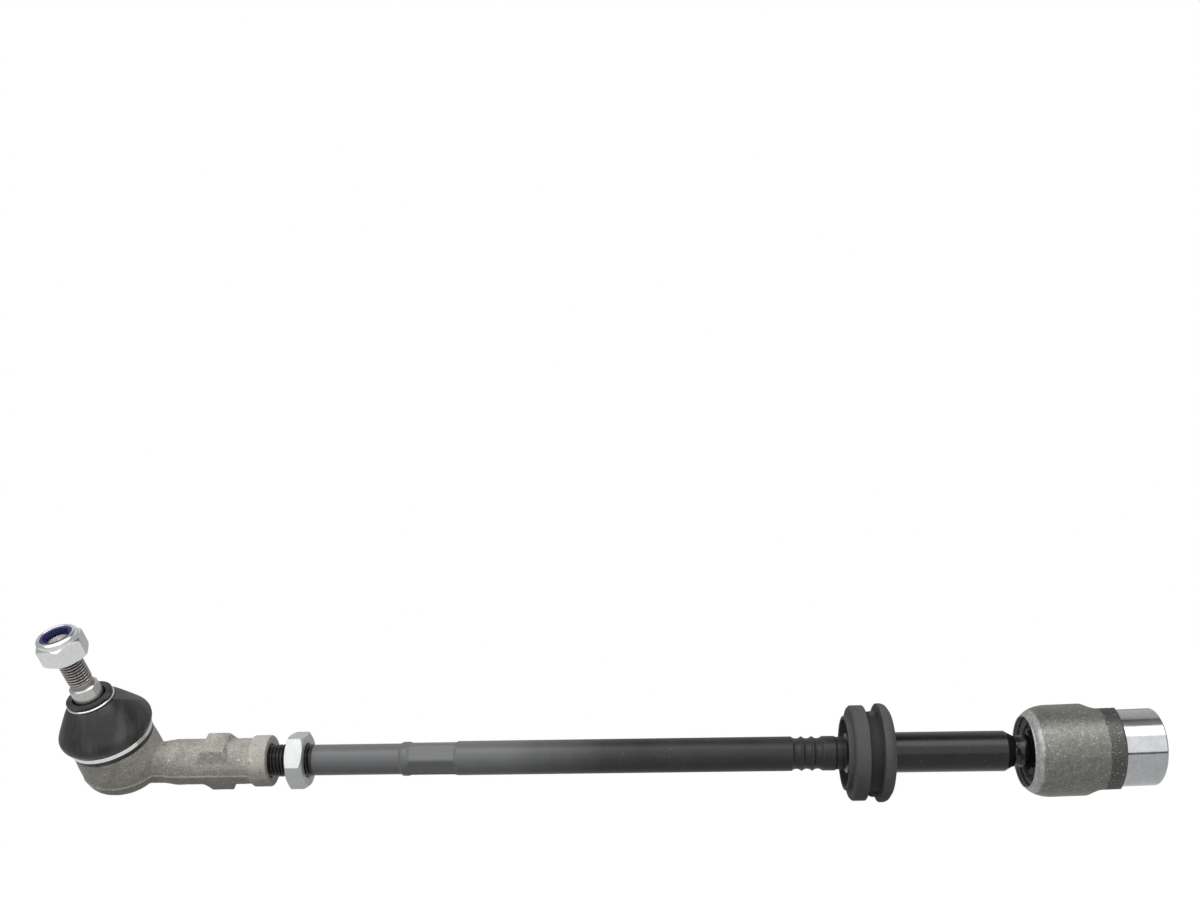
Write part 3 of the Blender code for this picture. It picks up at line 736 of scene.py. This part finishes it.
# ---- rack joint
def rack_joint_housing():
    """Barrel with a rolled rear edge, two milled flats, and a turned nose with its inner thread."""
    minor = RACK_THREAD[1]
    nose = rounded([(-1.4, minor, 0), (0.0, 11.6, 0.15), (0.0, NOSE_R - 0.6, 0.2), (-0.6, NOSE_R, 0.3),
                    (NOSE_FILLET - NOSE_LENGTH + 0.3, NOSE_R, 0.05),
                    (NOSE_FILLET - NOSE_LENGTH + 0.1, NOSE_R - 0.2, 0.05),
                    (0.3 - NOSE_LENGTH, NOSE_R + 0.1, 0.3), (-NOSE_LENGTH, NOSE_R + NOSE_FILLET, 0.2),
                    (-NOSE_LENGTH, BARREL_R - SHOULDER_R, 0)], 0.2)
    barrel = arc(-NOSE_LENGTH - SHOULDER_R, BARREL_R - SHOULDER_R, SHOULDER_R, 2, 90, 8)
    along, across = BARREL_ROLL
    roll = arc(0.0, 0.0, 1.0, 90, 155, 20)
    roll = [(BARREL_END + BARREL_LIP + along * (s - roll[-1][0]), BARREL_R - across * (1 - r))
            for s, r in roll]
    barrel += run(-NOSE_LENGTH - 2 * SHOULDER_R, roll[0][0] + 0.5, BARREL_R, 0.8) + roll
    mouth = rounded([(BARREL_END + 0.1, RACK_MOUTH_R + BARREL_LIP, 0), (BARREL_END, RACK_MOUTH_R, 0.3),
                     (RACK_CAVITY_LIP, RACK_MOUTH_R, 0.3), (RACK_CAVITY_LIP, RACK_CAVITY_R, 0.1),
                     (RACK_CAVITY_FLOOR, RACK_CAVITY_R, 0.5), (RACK_CAVITY_FLOOR, 0.0)], 0.2)
    step = RACK_THREAD[0] / ROWS_PER_PITCH
    hole = [(-RACK_THREAD_DEPTH, share * minor) for share in (0.0, 0.5, 1.0)]
    hole += list(reversed(run(-1.5, -RACK_THREAD_DEPTH + 0.2, minor, step)))

    def look(s, r):
        if r > NOSE_R + NOSE_FILLET or s < RACK_CAVITY_LIP:
            return 0
        return 1 if s > -RACK_THREAD_DEPTH - 0.1 or r > RACK_CAVITY_R + 0.1 else 2

    thread = screw_thread(RACK_THREAD, -RACK_THREAD_DEPTH + 0.3, 0.0, low_fade=1.5, hole=True)
    obj = turned("rack_joint_housing_surface", hole + nose + barrel + mouth, RACK, rack_barrel(),
                 turned_nose(), joint_shell(), milled_flat(), closed=False, shape=thread, look=look)
    height = 2.0 * RACK_CUTTER_R
    length = 2.0 * (RACK_CUTTER_R - RACK_FLAT_START - NOSE_LENGTH)
    for side in (1, -1):
        build = bmesh.new()
        bmesh.ops.create_cube(build, size=1.0)
        bmesh.ops.scale(build, verts=build.verts, vec=Vector((height, 40.0, length)) * MM)
        place = (-side * (RACK_FLAT_HALF + height / 2), 0.0,
                 RACK_FLAT_START - RACK_CUTTER_R + length / 2)
        bmesh.ops.translate(build, verts=build.verts, vec=Vector(place) * MM)
        along_y = [edge for edge in build.edges
                   if (edge.verts[0].co - edge.verts[1].co).xz.length < 1e-6]
        bmesh.ops.bevel(build, geom=along_y, offset=(RACK_CUTTER_R - 0.05) * MM, offset_type="OFFSET",
                        segments=40, profile=0.5, affect="EDGES", clamp_overlap=True)
        cut(obj, "DIFFERENCE", link("cutter", made_from(build, "cutter"), RACK))
    for face in obj.data.polygons:
        x, y, z = face.center / MM
        if (abs(abs(face.normal.x) - 1) < 0.35 and abs(x) > RACK_FLAT_HALF - 0.01
                and hypot(x, y) < BARREL_R - 0.06 and RACK_FLAT_START - 6 < z < -NOSE_LENGTH):
            face.material_index = 3
    obj.data.set_sharp_from_angle(angle=radians(30))
    stand_in(obj, "rack_joint_housing")


def rack_joint_inside(steel):
    """Two seat shells round the bar's ball, and the disc spring behind them."""
    seat_r = BAR_BALL_R + GAP
    outer_r = RACK_CAVITY_R - GAP
    front_end = RACK_CAVITY_LIP + GAP
    outline = rounded([(BAR_BALL_X - 0.6, outer_r), (front_end, outer_r),
                       (front_end, RACK_CAVITY_R - 2.5)], 0.3)
    outline += arc(BAR_BALL_X, 0.0, seat_r, degrees(acos(-7.0 / seat_r)), 92.6, 20)
    piece("rack_joint_front_shell", "spring_steel", outline, RACK, joint_shell())

    back = BAR_BALL_X + BAR_BALL_R + 1.9
    pocket = 5.0
    start = degrees(acos(0.6 / seat_r))
    end = degrees(asin(pocket / seat_r))
    outline = rounded([(back, pocket), (back, outer_r - 3.0), (back - 3.0, outer_r),
                       (BAR_BALL_X + 0.6, outer_r)], 0.3)
    outline += arc(BAR_BALL_X, 0.0, seat_r, start, end, 24)
    piece("rack_joint_rear_shell", "spring_steel", outline, RACK, joint_shell())

    low = back + GAP
    high = RACK_CAVITY_FLOOR - GAP
    sheet = 0.7
    outline = rounded([(high, 5.5), (high, 7.0), (low + sheet, 12.0), (low, 12.0), (low, 11.0),
                       (high - sheet, 5.5)], 0.15, closed=True)
    piece("rack_joint_disc_spring", "spring_steel", outline, RACK, steel)


def grease_on(name, outline, matrix, body, seed, material):
    """A smear with an uneven surface; the outline's outer side is pushed out by noise."""
    def bumpy(s, a):
        return noise.noise(Vector((1.8 * cos(a), 1.8 * sin(a), s * 0.35 + seed)))

    def lumps(s, r, angle):
        rise = np.vectorize(bumpy)(s, angle)
        return s, r + np.clip(rise, -0.4, 0.6) * 0.9 * (r > r.min(axis=0) + 0.15)

    obj = turned(name, outline, matrix, material, steps=72, shape=lumps)
    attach(obj, body)


def rack_grease():
    """Black grease squeezed out round the bar's neck, and grey smears in the barrel's mouth."""
    neck = BAR_NECK_R - 0.2
    outline = rounded([(-51.6, neck), (-51.8, neck + 0.5), (-53.0, neck + 1.2), (-54.5, neck + 1.1),
                       (-56.0, neck + 0.8), (-58.0, neck + 0.9), (-58.6, neck + 0.2), (-57.0, neck)], 0.5,
                      closed=True)
    grease_on("neck_grease", outline, BAR, "bar", 3.1, grease("black_grease", 0.003, 0.011))
    seat = RACK_CAVITY_R - GAP
    outline = rounded([(-50.6, seat - 0.3), (-50.85, seat - 1.2), (-50.8, seat - 2.3),
                       (-49.6, seat - 2.9), (-48.8, seat - 2.8), (-50.0, seat - 0.4)], 0.3, closed=True)
    grease_on("mouth_grease", outline[::-1], RACK, "rack_joint", 7.7,
              grease("grey_grease", 0.03, 0.14))


# ---- bar
def scallop(centre):
    """One of the grooves rolled into the bar beside the bellows ring."""
    radius = (SCALLOP_HALF ** 2 + SCALLOP_DEPTH ** 2) / (2 * SCALLOP_DEPTH)
    axis_r = SHAFT_R + radius - SCALLOP_DEPTH
    return [(centre + off, axis_r - sqrt(radius ** 2 - off ** 2))
            for off in np.linspace(SCALLOP_HALF, -SCALLOP_HALF, 15)]


def tie_rod():
    """Ball, neck, thick stretch, scalloped grooves, adjusting hexagon and rolled thread."""
    ball_end = degrees(acos(-sqrt(BAR_BALL_R ** 2 - BAR_NECK_R ** 2) / BAR_BALL_R))
    outline = arc(BAR_BALL_X, 0.0, BAR_BALL_R, 0, ball_end, 40)
    outline[0] = (outline[0][0], 0.0)
    outline += rounded([outline.pop(), (BAR_CONE[0], BAR_NECK_R, 2.0), (BAR_CONE[1], BAR_R, 0.8),
                        (BAR_STEP, BAR_R, 0.3), (BAR_STEP - 0.8, BAR_UNDERCUT[1], 0.3),
                        (*BAR_UNDERCUT, 0.3), (BAR_UNDERCUT[0] - 0.6, SHAFT_R, 0.25),
                        (SCALLOPS[0] + SCALLOP_HALF + 0.4, SHAFT_R)], 0.3)
    for centre in SCALLOPS:
        outline += scallop(centre)
    outline += [(SCALLOPS[-1] - SCALLOP_HALF - 0.4, SHAFT_R)]
    outline += run(HEX_ZONE[0] + 6, HEX_ZONE[1] - 1.5, SHAFT_R, 0.3)
    outline += rounded([outline.pop(), (HEX_ZONE[1] - 2.2, SHAFT_R, 0.6),
                        (HEX_ZONE[1] - 3.6, BLANK_R, 0.6), (THREAD_START + 0.4, BLANK_R)], 0.5)
    crest = BAR_THREAD[2]
    outline += run(THREAD_START, BAR_TIP + 1.5, crest, BAR_THREAD[0] / ROWS_PER_PITCH)
    outline += run(BAR_TIP + 1.4, BAR_TIP + 0.1, crest - 1.4, 0.1)[-1:]
    outline += [(BAR_TIP, crest - 1.6), (BAR_TIP, 0.0)]
    thread = screw_thread(BAR_THREAD, BAR_TIP, THREAD_START + 0.2, high_fade=2.2)

    def look(s, _):
        if s > BAR_STEP - 1.0:
            return 1
        return 2 if s < THREAD_START - 0.2 else 0

    piece("tie_rod", "black_phosphate", outline, BAR, black_shaft(), black_gloss(), black_thread(),
          steps=THREAD_STEPS, closed=False, look=look, start=radians(HEX_ROLL),
          shape=lambda s, r, angle: thread(*hexagon_zone(s, r, angle), angle))


def bellows_ring():
    """Rubber ring with a groove between two flanges and a thin lip beyond its recess."""
    high, low = RING_GROOVE

    def lugs(s, r, angle):
        """Two rounded lugs on the groove's floor."""
        for side, station in zip(LUG_ANGLES, (-117.6, -117.4)):
            toward = radians(-90.0 - side)
            apart = np.abs((angle - toward + pi) % (2 * pi) - pi) * RING_FLOOR_R
            off = np.sqrt(apart ** 2 + (s - station) ** 2)
            lug = LUG_HEIGHT * np.sqrt(np.clip(1 - (off / LUG_R) ** 2, 0, 1))
            r = np.where((s < high - 0.1) & (s > low + 0.1) & (r < RING_FLOOR_R + 0.2),
                         np.maximum(r, RING_FLOOR_R + lug), r)
        return s, r

    bore = BAR_R + GAP
    recess, recess_r = RING_RECESS
    floor = [(float(s), RING_FLOOR_R, 0) for s in np.linspace(-115.3, -119.6, 22)]
    outline = rounded([(RING_BACK, bore, 0.3), (RING_BACK, 15.6, 0.8), (-109.7, 18.0, 2.0),
                       (-111.2, 20.2, 2.0), (-112.7, RING_BACK_R, 1.5), (high, RING_BACK_R, 0.35),
                       (high, RING_FLOOR_R, 0.4), *floor, (low, RING_FLOOR_R, 0.4),
                       (low, RING_FRONT_R, 0.45), (RING_FRONT + 0.8, RING_FRONT_R, 0.5),
                       (RING_FRONT, 19.3, 0.3), (RING_FRONT, 15.9, 0.25), (RING_LIP, 15.7, 0.35),
                       (RING_LIP, recess_r, 0.35), (recess, recess_r, 0.4), (recess, bore, 0.3)], 0.3,
                      closed=True)
    piece("bellows_ring", "bellows_ring_rubber", outline, BAR, ring_rubber(), shape=lugs)


# ---- nuts
def hexagon(spec):
    """A plain hexagonal prism about Z."""
    flats, low, high, roll = spec
    build = bmesh.new()
    corner = flats / sqrt(3.0) * MM
    bmesh.ops.create_cone(build, cap_ends=True, segments=6, radius1=corner, radius2=corner,
                          depth=(high - low) * MM)
    turn = Matrix.Rotation(radians(roll), 4, "Z")
    bmesh.ops.transform(build, verts=build.verts,
                        matrix=Matrix.Translation((0, 0, 0.5 * (low + high) * MM)) @ turn)
    return made_from(build, "hexagon")


def nut(name, spec, matrix, lens, hole, crown=None):
    """A hexagon trimmed by a turned lens, with a turned crown and hole, and softened edges."""
    obj = link(name, hexagon(spec), matrix)
    for operation, outline in (("INTERSECT", lens), ("UNION", crown), ("DIFFERENCE", hole)):
        if outline:
            cut(obj, operation, solid("tool", outline, matrix, NUT_STEPS))
    soften = obj.modifiers.new("soften", "BEVEL")
    soften.width = 0.14 * MM
    soften.segments = 3
    soften.limit_method = "ANGLE"
    soften.angle_limit = radians(24)
    applied(obj)
    return obj


def lock_nut():
    flats, low, high = LOCK_NUT[:3]
    round_r = flats / 2 - 0.3
    bore = 7.15
    lens = [(high + 0.1, 0.0), (high + 0.1, round_r), (high - 1.3, round_r + 2.6),
            (low + 1.3, round_r + 2.6), (low - 0.1, round_r), (low - 0.1, 0.0)]
    hole = [(high + 1, 0.0), (high + 1, bore + 1.7), (high - 0.7, bore), (low + 0.7, bore),
            (low - 1, bore + 1.7), (low - 1, 0.0)]
    obj = nut("lock_nut_surface", LOCK_NUT, BAR, lens, hole)
    stand_in(shaded(obj, lock_zinc(), sharp=30), "lock_nut")


def stud_nut():
    """Self-locking nut: its crown is rolled over a nylon ring."""
    flats, low, high = STUD_NUT[:3]
    round_r = flats / 2 + 0.1
    bore = 5.08
    lens = [(high + 0.1, 0.0), (high + 0.1, round_r), (high - 0.9, round_r + 1.7),
            (low + 1.2, round_r + 2.2), (low - 0.1, round_r), (low - 0.1, 0.0)]
    crown = rounded([(NUT_TOP, 0.0), (NUT_TOP, NUT_CROWN_R, 1.5), (high - 1.0, NUT_CROWN_R),
                     (high - 1.0, 0.0)], 1.5, segments=8)
    hole = rounded([(NUT_TOP + 1, 0.0), (NUT_TOP + 1, 7.2, 0), (NUT_TOP - 0.3, 6.35, 0.2),
                    (NUT_TOP - 0.4, 6.35, 0.1), (NUT_TOP - 0.4, 6.7, 0), (NUT_SEAT, 6.7, 0),
                    (NUT_SEAT, bore, 0), (low + 0.7, bore, 0), (low - 1, bore + 1.4, 0),
                    (low - 1, 0.0)], 0.1)
    obj = nut("stud_nut_surface", STUD_NUT, STUD, lens, hole, crown)
    stand_in(shaded(obj, bright_zinc(), sharp=30), "stud_nut")
    outline = rounded([(NUT_TOP - 0.2, bore, 0.6), (NUT_TOP - 0.25, 5.9, 0.5),
                       (NUT_TOP - 0.5, 6.5, 0.2), (NUT_SEAT + GAP, 6.5), (NUT_SEAT + GAP, bore)], 0.3,
                      closed=True)
    piece("stud_nut_insert", "nylon", outline, STUD, nylon())


# ---- outer joint
def outer_housing():
    """The forging: bowl, stem, pads and collar run into one skin with soft fillets and a flash line."""
    to_stem = STEM.inverted()
    bowl = [(BOWL_RIM, 0.0), (BOWL_RIM, BOWL_RIM_R), (12.9, BOWL_RIM_R), (12.9, 16.5)]
    bowl += curve([(12.1, 16.9), (6.0, 17.3), (0.5, 17.2), (-2.6, 16.5), (-5.2, 14.8), (-7.8, 11.6),
                   (-10.2, 7.0), (-11.2, 0.0)], 6)
    collar = COLLAR_FACE - COLLAR_LENGTH
    stem = [(COLLAR_FACE, 0.0), (COLLAR_FACE, COLLAR_R - 0.3), (COLLAR_FACE - 0.3, COLLAR_R),
            (collar + 0.3, COLLAR_R), (collar, COLLAR_R - 0.3), (collar - 1.0, STEM_R), (23.0, STEM_R),
            (17.5, STEM_WAIST_R), (0.0, STEM_WAIST_R), (0.0, 0.0)]
    build = bmesh.new()
    for outline, place in ((bowl, STUD), (stem, STEM)):
        mesh = turned_mesh("blank", outline, 96, closed=False)
        mesh.transform(to_stem @ place)
        build.from_mesh(mesh)
    for side in (1, -1):
        for vert in bmesh.ops.create_cube(build, size=1.0)["verts"]:
            top = vert.co.x > 0
            size = PAD_TOP if top else PAD_FOOT
            height = PAD_HALF + 0.25 if top else PAD_FOOT_HEIGHT
            vert.co = Vector((-side * height, side * vert.co.y * size[1],
                              PAD_CENTRE + vert.co.z * size[0])) * MM
    bmesh.ops.recalc_face_normals(build, faces=build.faces)
    obj = link("outer_housing_surface", made_from(build, "outer_housing_surface"), STEM)
    remesh = obj.modifiers.new("skin", "REMESH")
    remesh.mode = "VOXEL"
    remesh.voxel_size = FORGING_VOXEL * MM
    smooth = obj.modifiers.new("fillets", "SMOOTH")
    smooth.factor = 0.5
    smooth.iterations = 4
    applied(obj)

    place = np.array([vert.co for vert in obj.data.vertices], float)
    normal = np.array([vert.normal for vert in obj.data.vertices])
    flash = FLASH_HEIGHT * np.exp(-(place[:, 0] / MM / FLASH_WIDTH) ** 2)
    flash *= place[:, 2] / MM < COLLAR_FACE - COLLAR_LENGTH - 1
    lumps = np.array([noise.noise(Vector(each) * 320) * 0.09 + noise.noise(Vector(each) * 900) * 0.035
                      for each in place])
    place += normal * ((flash + lumps) * MM)[:, None]
    obj.data.vertices.foreach_set("co", place.astype(np.float32).ravel())
    obj.data.update()

    hollow = [(BOWL_RIM + 1, 0.0), (BOWL_RIM + 1, 12.6), (17.0, 12.6), (17.0, 13.5), (14.3, 13.5),
              (14.3, SEAT_R), (SEAT_FLOOR, SEAT_R), (SEAT_FLOOR, 0.0)]
    cut(obj, "DIFFERENCE", solid("hollow", hollow, STUD))
    bore = [(COLLAR_FACE + 1, 0.0), (COLLAR_FACE + 1, STEM_BORE_R + 1.8),
            (COLLAR_FACE - 0.8, STEM_BORE_R), (COLLAR_FACE - STEM_BORE_DEPTH, STEM_BORE_R),
            (COLLAR_FACE - STEM_BORE_DEPTH - 3.0, 0.0)]
    cut(obj, "DIFFERENCE", solid("bore", bore, STEM))
    shaded(obj, forged_steel(), machined_steel(), sharp=50)
    for face in obj.data.polygons:
        away = hypot(face.center.x, face.center.y) / MM
        station = face.center.z / MM
        if away < STEM_BORE_R + 0.9 and station > COLLAR_FACE - STEM_BORE_DEPTH - 3.1:
            face.material_index = 1
    stand_in(obj, "outer_housing")


def outer_seat(steel):
    """Two plastic shells round the stud's ball, a disc spring under them and a ring above."""
    seat_r = BALL_R + GAP
    outer_r = SEAT_R - GAP
    plastic = seat_plastic()
    top = 14.0
    outline = [(top, 11.0), (top, outer_r), (BALL_S + 0.4, outer_r)]
    outline += arc(BALL_S, 0.0, seat_r, 88.0, degrees(acos(5.2 / seat_r)), 16)
    piece("outer_upper_shell", "seat_plastic", outline, STUD, plastic)
    floor = -6.1
    pocket = 5.0
    outline = [(BALL_S - 0.4, outer_r), (floor, outer_r), (floor, pocket)]
    outline += arc(BALL_S, 0.0, seat_r, 180.0 - degrees(asin(pocket / seat_r)), 92.0, 20)
    piece("outer_lower_shell", "seat_plastic", outline, STUD, plastic)
    outline = rounded([(floor - GAP, 7.5), (floor - GAP, 9.0), (floor - 1.1, 12.0),
                       (floor - 1.6, 12.0), (floor - 1.6, 11.0), (floor - 0.9, 7.5)], 0.12, closed=True)
    piece("outer_disc_spring", "spring_steel", outline, STUD, steel)
    outline = rounded([(16.7, 11.3), (16.7, 13.2), (14.6, 13.2), (14.6, 11.3)], 0.2, closed=True)
    piece("outer_retaining_ring", "spring_steel", outline, STUD, steel)


def ball_stud():
    """Polished ball, neck, ground taper and rolled thread."""
    start = degrees(acos(sqrt(BALL_R ** 2 - STUD_NECK_R ** 2) / BALL_R))
    crest = STUD_THREAD[2]
    (taper_low, taper_r), (taper_high, taper_top) = TAPER
    outline = [(STUD_END - 0.3, 0.0), (STUD_END - 0.3, 1.2), (STUD_END, 1.7), (STUD_END, crest - 1.1)]
    outline += run(STUD_END - 1.0, taper_high + 1.6, crest, STUD_THREAD[0] / ROWS_PER_PITCH)
    outline += rounded([outline.pop(), (taper_high + 1.2, 4.55, 0.2), (taper_high + 0.2, 4.55, 0.1),
                        (taper_high, taper_top - 0.6, 0.15), (taper_high - 0.6, taper_top, 0.3),
                        (taper_low, taper_r, 0.4), (28.0, taper_r, 1.5), (22.0, STUD_NECK_R, 3.0),
                        (BALL_S + sqrt(BALL_R ** 2 - STUD_NECK_R ** 2), STUD_NECK_R)], 0.3)
    outline += arc(BALL_S, 0.0, BALL_R, start, 180, 36)[1:]
    outline[-1] = (outline[-1][0], 0.0)

    def look(s, _):
        if s > STUD_END - 1.1:
            return 2
        return 1 if s > taper_high + 0.1 else 0

    thread = screw_thread(STUD_THREAD, taper_high + 1.4, STUD_END, low_fade=1.6)
    piece("ball_stud", "stud_steel", outline, STUD, stud_steel(), stud_thread(), stud_end(),
          steps=THREAD_STEPS, closed=False, shape=thread, look=look)


def dust_boot():
    """Moulded boot: thin lip, wire groove, swelling cone, and a cuff under the lower clip."""
    taper_bore = TAPER[0][1] + GAP
    wire_high, wire_low, wire_r = WIRE_GROOVE
    cuff_high, cuff_low, cuff_r = CUFF_GROOVE
    lip = rounded([(BOOT_TOP, 8.2, 0), (BOOT_TOP, BOOT_LIP_R, 0.35), (36.75, BOOT_LIP_R, 0.2),
                   (wire_high, wire_r, 0.15), (wire_low, wire_r, 0.15), (35.2, 9.85, 0)], 0.2)
    cone = curve([(35.2, 9.9), (33.0, 11.9), (30.5, 13.75), (28.0, 15.5), (26.0, 16.85), (24.0, 18.2),
                  (22.6, 18.95), (21.2, 19.2), (19.6, 18.9), (18.2, 18.05)], 6)
    cuff = rounded([(17.6, 17.7, 0), (17.3, 17.3, 0.2), (cuff_high, cuff_r, 0.1),
                    (cuff_low, cuff_r, 0.1), (14.9, 17.0, 0.2), (13.2, 17.0, 0.4),
                    (13.0, BOWL_RIM_R + GAP, 0)], 0.2)
    inside = curve([(18.2, BOWL_RIM_R + GAP), (19.4, 17.0), (21.6, 17.5), (23.4, 16.9), (26.5, 14.8),
                    (30.5, 11.8), (34.6, taper_bore)], 4)
    bore = rounded([(36.0, taper_bore, 0), (BOOT_TOP, taper_bore, 0.3), (BOOT_TOP, 8.0, 0)], 0.3)
    obj = turned("dust_boot_surface", lip + cone[1:] + cuff + inside + bore, STUD, boot_rubber())
    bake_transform(obj)
    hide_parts("dust_boot")


def boot_clips():
    steel = clip_steel()
    outline = rounded([(17.05, 16.65), (17.05, 17.35), (15.15, 17.35), (15.15, 16.65)], 0.22,
                      closed=True)
    piece("boot_lower_clip", "clip_steel", outline, STUD, steel)
    piece("boot_upper_clip", "clip_steel", arc(36.0, 9.22, 0.5, 0, 342, 19), STUD, steel)


rack_joint_housing()
springs = spring_steel()
rack_joint_inside(springs)
rack_grease()
tie_rod()
bellows_ring()
lock_nut()
outer_housing()
outer_seat(springs)
ball_stud()
dust_boot()
boot_clips()
stud_nut()


# ---- floor, light and camera
FLOOR_R = 6.0  # sizes of the studio are in metres
FLOOR_DROP = 0.3  # the floor lies below the lowest pose of the bar
SURROUND_R = 5.9
SOFTBOXES = {  # azimuth, elevation, distance, width, height, radiance
    "front_softbox": (-6, 27, 1.6, 3.4, 3.0, 1.02),
    "top_softbox": (-4, 50, 1.5, 3.0, 0.8, 1.9),
    "rear_softbox": (178, 59, 1.8, 3.0, 1.9, 0.26),
}
CARD_GLOW = 0.74
CARD_HALF = 3.0
CARD_NEAR = -0.95
CARD_FAR = 3.0
CARD_HEIGHT = -0.355
SKY = ((0.0, 0.06), (0.31, 0.12), (0.325, 0.05), (0.36, 0.05), (0.375, 0.4), (0.5, 0.45), (0.8, 0.45),
       (0.95, 0.4), (0.97, 0.06), (1.0, 0.06))  # brightness from straight down to straight up


def glowing(name, mesh, place, strength, *unseen_by):
    """A glowing piece of the studio, unseen by some kinds of ray."""
    obj = link(name, mesh, Matrix.Translation(place))
    look = bpy.data.materials.new(name)
    look.use_nodes = True
    nodes = Nodes(look.node_tree)
    glow = nodes.add("Emission", Color=grey(1.0), Strength=strength).outputs[0]
    nodes.fill(nodes.tree.nodes["Material Output"], Surface=glow)
    obj.data.materials.append(look)
    for ray in unseen_by:
        setattr(obj, "visible_" + ray, False)
    obj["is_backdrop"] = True
    return nodes, glow


def softbox(name, centre, azimuth, elevation, distance, width, height, radiance):
    """An area light of the given radiance, facing the object."""
    light = bpy.data.lights.new(name, "AREA")
    light.shape = "RECTANGLE"
    light.size = width
    light.size_y = height
    light.energy = radiance * pi * width * height
    a, e = radians(azimuth), radians(elevation)
    way = Vector((sin(a) * cos(e), -cos(a) * cos(e), sin(e)))
    facing = way.to_track_quat("Z", "Y").to_matrix().to_4x4()
    obj = link(name, light, Matrix.Translation(centre + way * distance) @ facing)
    obj.visible_camera = False


def studio():
    """Pale floor that fades into a white surround, three softboxes and a sky.

    The bounce card under the object is seen only by reflections.
    """
    low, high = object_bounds()
    centre = (low + high) / 2
    build = bmesh.new()
    bmesh.ops.create_circle(build, cap_ends=True, segments=96, radius=FLOOR_R)
    nodes, glow = glowing("studio_floor", made_from(build, "studio_floor"),
                          (centre.x, 0, low.z - FLOOR_DROP), 1.3, "diffuse", "glossy", "shadow")
    shader = nodes.fill(nodes.tree.nodes["Principled BSDF"], Base_Color=grey(0.93), Roughness=0.9,
                        Specular_IOR_Level=0.0)
    away = nodes.vector("LENGTH", "Value", Vector=nodes.add("TexCoord").outputs["Object"])
    share = nodes.ranged(away, 0.3, 1.1, 0.6, 1.0, True)
    both = nodes.add("MixShader", i0=share, i1=shader.outputs[0], i2=glow)
    nodes.fill(nodes.tree.nodes["Material Output"], Surface=both.outputs[0])

    build = bmesh.new()
    bmesh.ops.create_uvsphere(build, u_segments=48, v_segments=24, radius=SURROUND_R)
    bmesh.ops.reverse_faces(build, faces=build.faces)
    glowing("studio_surround", made_from(build, "studio_surround"), (centre.x, 0, 0), 1.0,
            "diffuse", "glossy", "transmission", "volume_scatter", "shadow")

    for name, values in SOFTBOXES.items():
        softbox(name, centre, *values)

    card = bpy.data.meshes.new("bounce_card")
    corners = ((-CARD_HALF, CARD_NEAR), (CARD_HALF, CARD_NEAR), (CARD_HALF, CARD_FAR),
               (-CARD_HALF, CARD_FAR))
    card.from_pydata([(x, y, CARD_HEIGHT) for x, y in corners], [], [(0, 1, 2, 3)])
    glowing("bounce_card", card, (centre.x, 0, 0), CARD_GLOW,
            "camera", "diffuse", "transmission", "volume_scatter", "shadow")

    world = bpy.data.worlds.new("studio")
    bpy.context.scene.world = world
    world.use_nodes = True
    nodes = Nodes(world.node_tree)
    way = nodes.add("TexCoord").outputs["Generated"]
    up = nodes.add("SeparateXYZ", Vector=way).outputs["Z"]
    ramp = nodes.add("ValToRGB", Fac=nodes.ranged(up, -1.0, 1.0, 0.0, 1.0))
    elements = ramp.color_ramp.elements
    elements[0].color = grey(SKY[0][1])
    elements[1].color = grey(SKY[-1][1])
    for place, level in SKY[1:-1]:
        elements.new(place).color = grey(level)
    nodes.fill(nodes.tree.nodes["Background"], Color=ramp.outputs["Color"], Strength=1.0)


CAMERA_PLACE = (-206.11, -485.12, 0.42)  # in the frame of the bar at rest
CAMERA_YAW = 2.206
CAMERA_PITCH = 6.0
CAMERA_ROLL = 0.764
CAMERA_LENS = 33.973
CAMERA_SHIFT = (-0.0118, 0.155)


def camera():
    data = bpy.data.cameras.new("camera")
    data.lens = CAMERA_LENS
    data.sensor_width = 36.0
    data.shift_x, data.shift_y = CAMERA_SHIFT
    data.clip_start = 0.01
    data.clip_end = 50.0
    cock = bar_way.to_track_quat("X", "Z").to_matrix().to_4x4()
    place = Matrix.Translation(Vector(CAMERA_PLACE) * MM - Vector((BAR_BALL_X * MM, 0, 0)))
    turn = (Matrix.Rotation(radians(CAMERA_YAW), 4, "Z")
            @ Matrix.Rotation(radians(90 + CAMERA_PITCH), 4, "X")
            @ Matrix.Rotation(radians(-CAMERA_ROLL), 4, "Z"))
    where = Matrix.Translation(bar_ball) @ cock @ place @ turn
    bpy.context.scene.camera = link("camera", data, where)


studio()
camera()
bpy.context.scene.view_settings.view_transform = "Standard"
bpy.context.scene.cycles.use_denoising = True
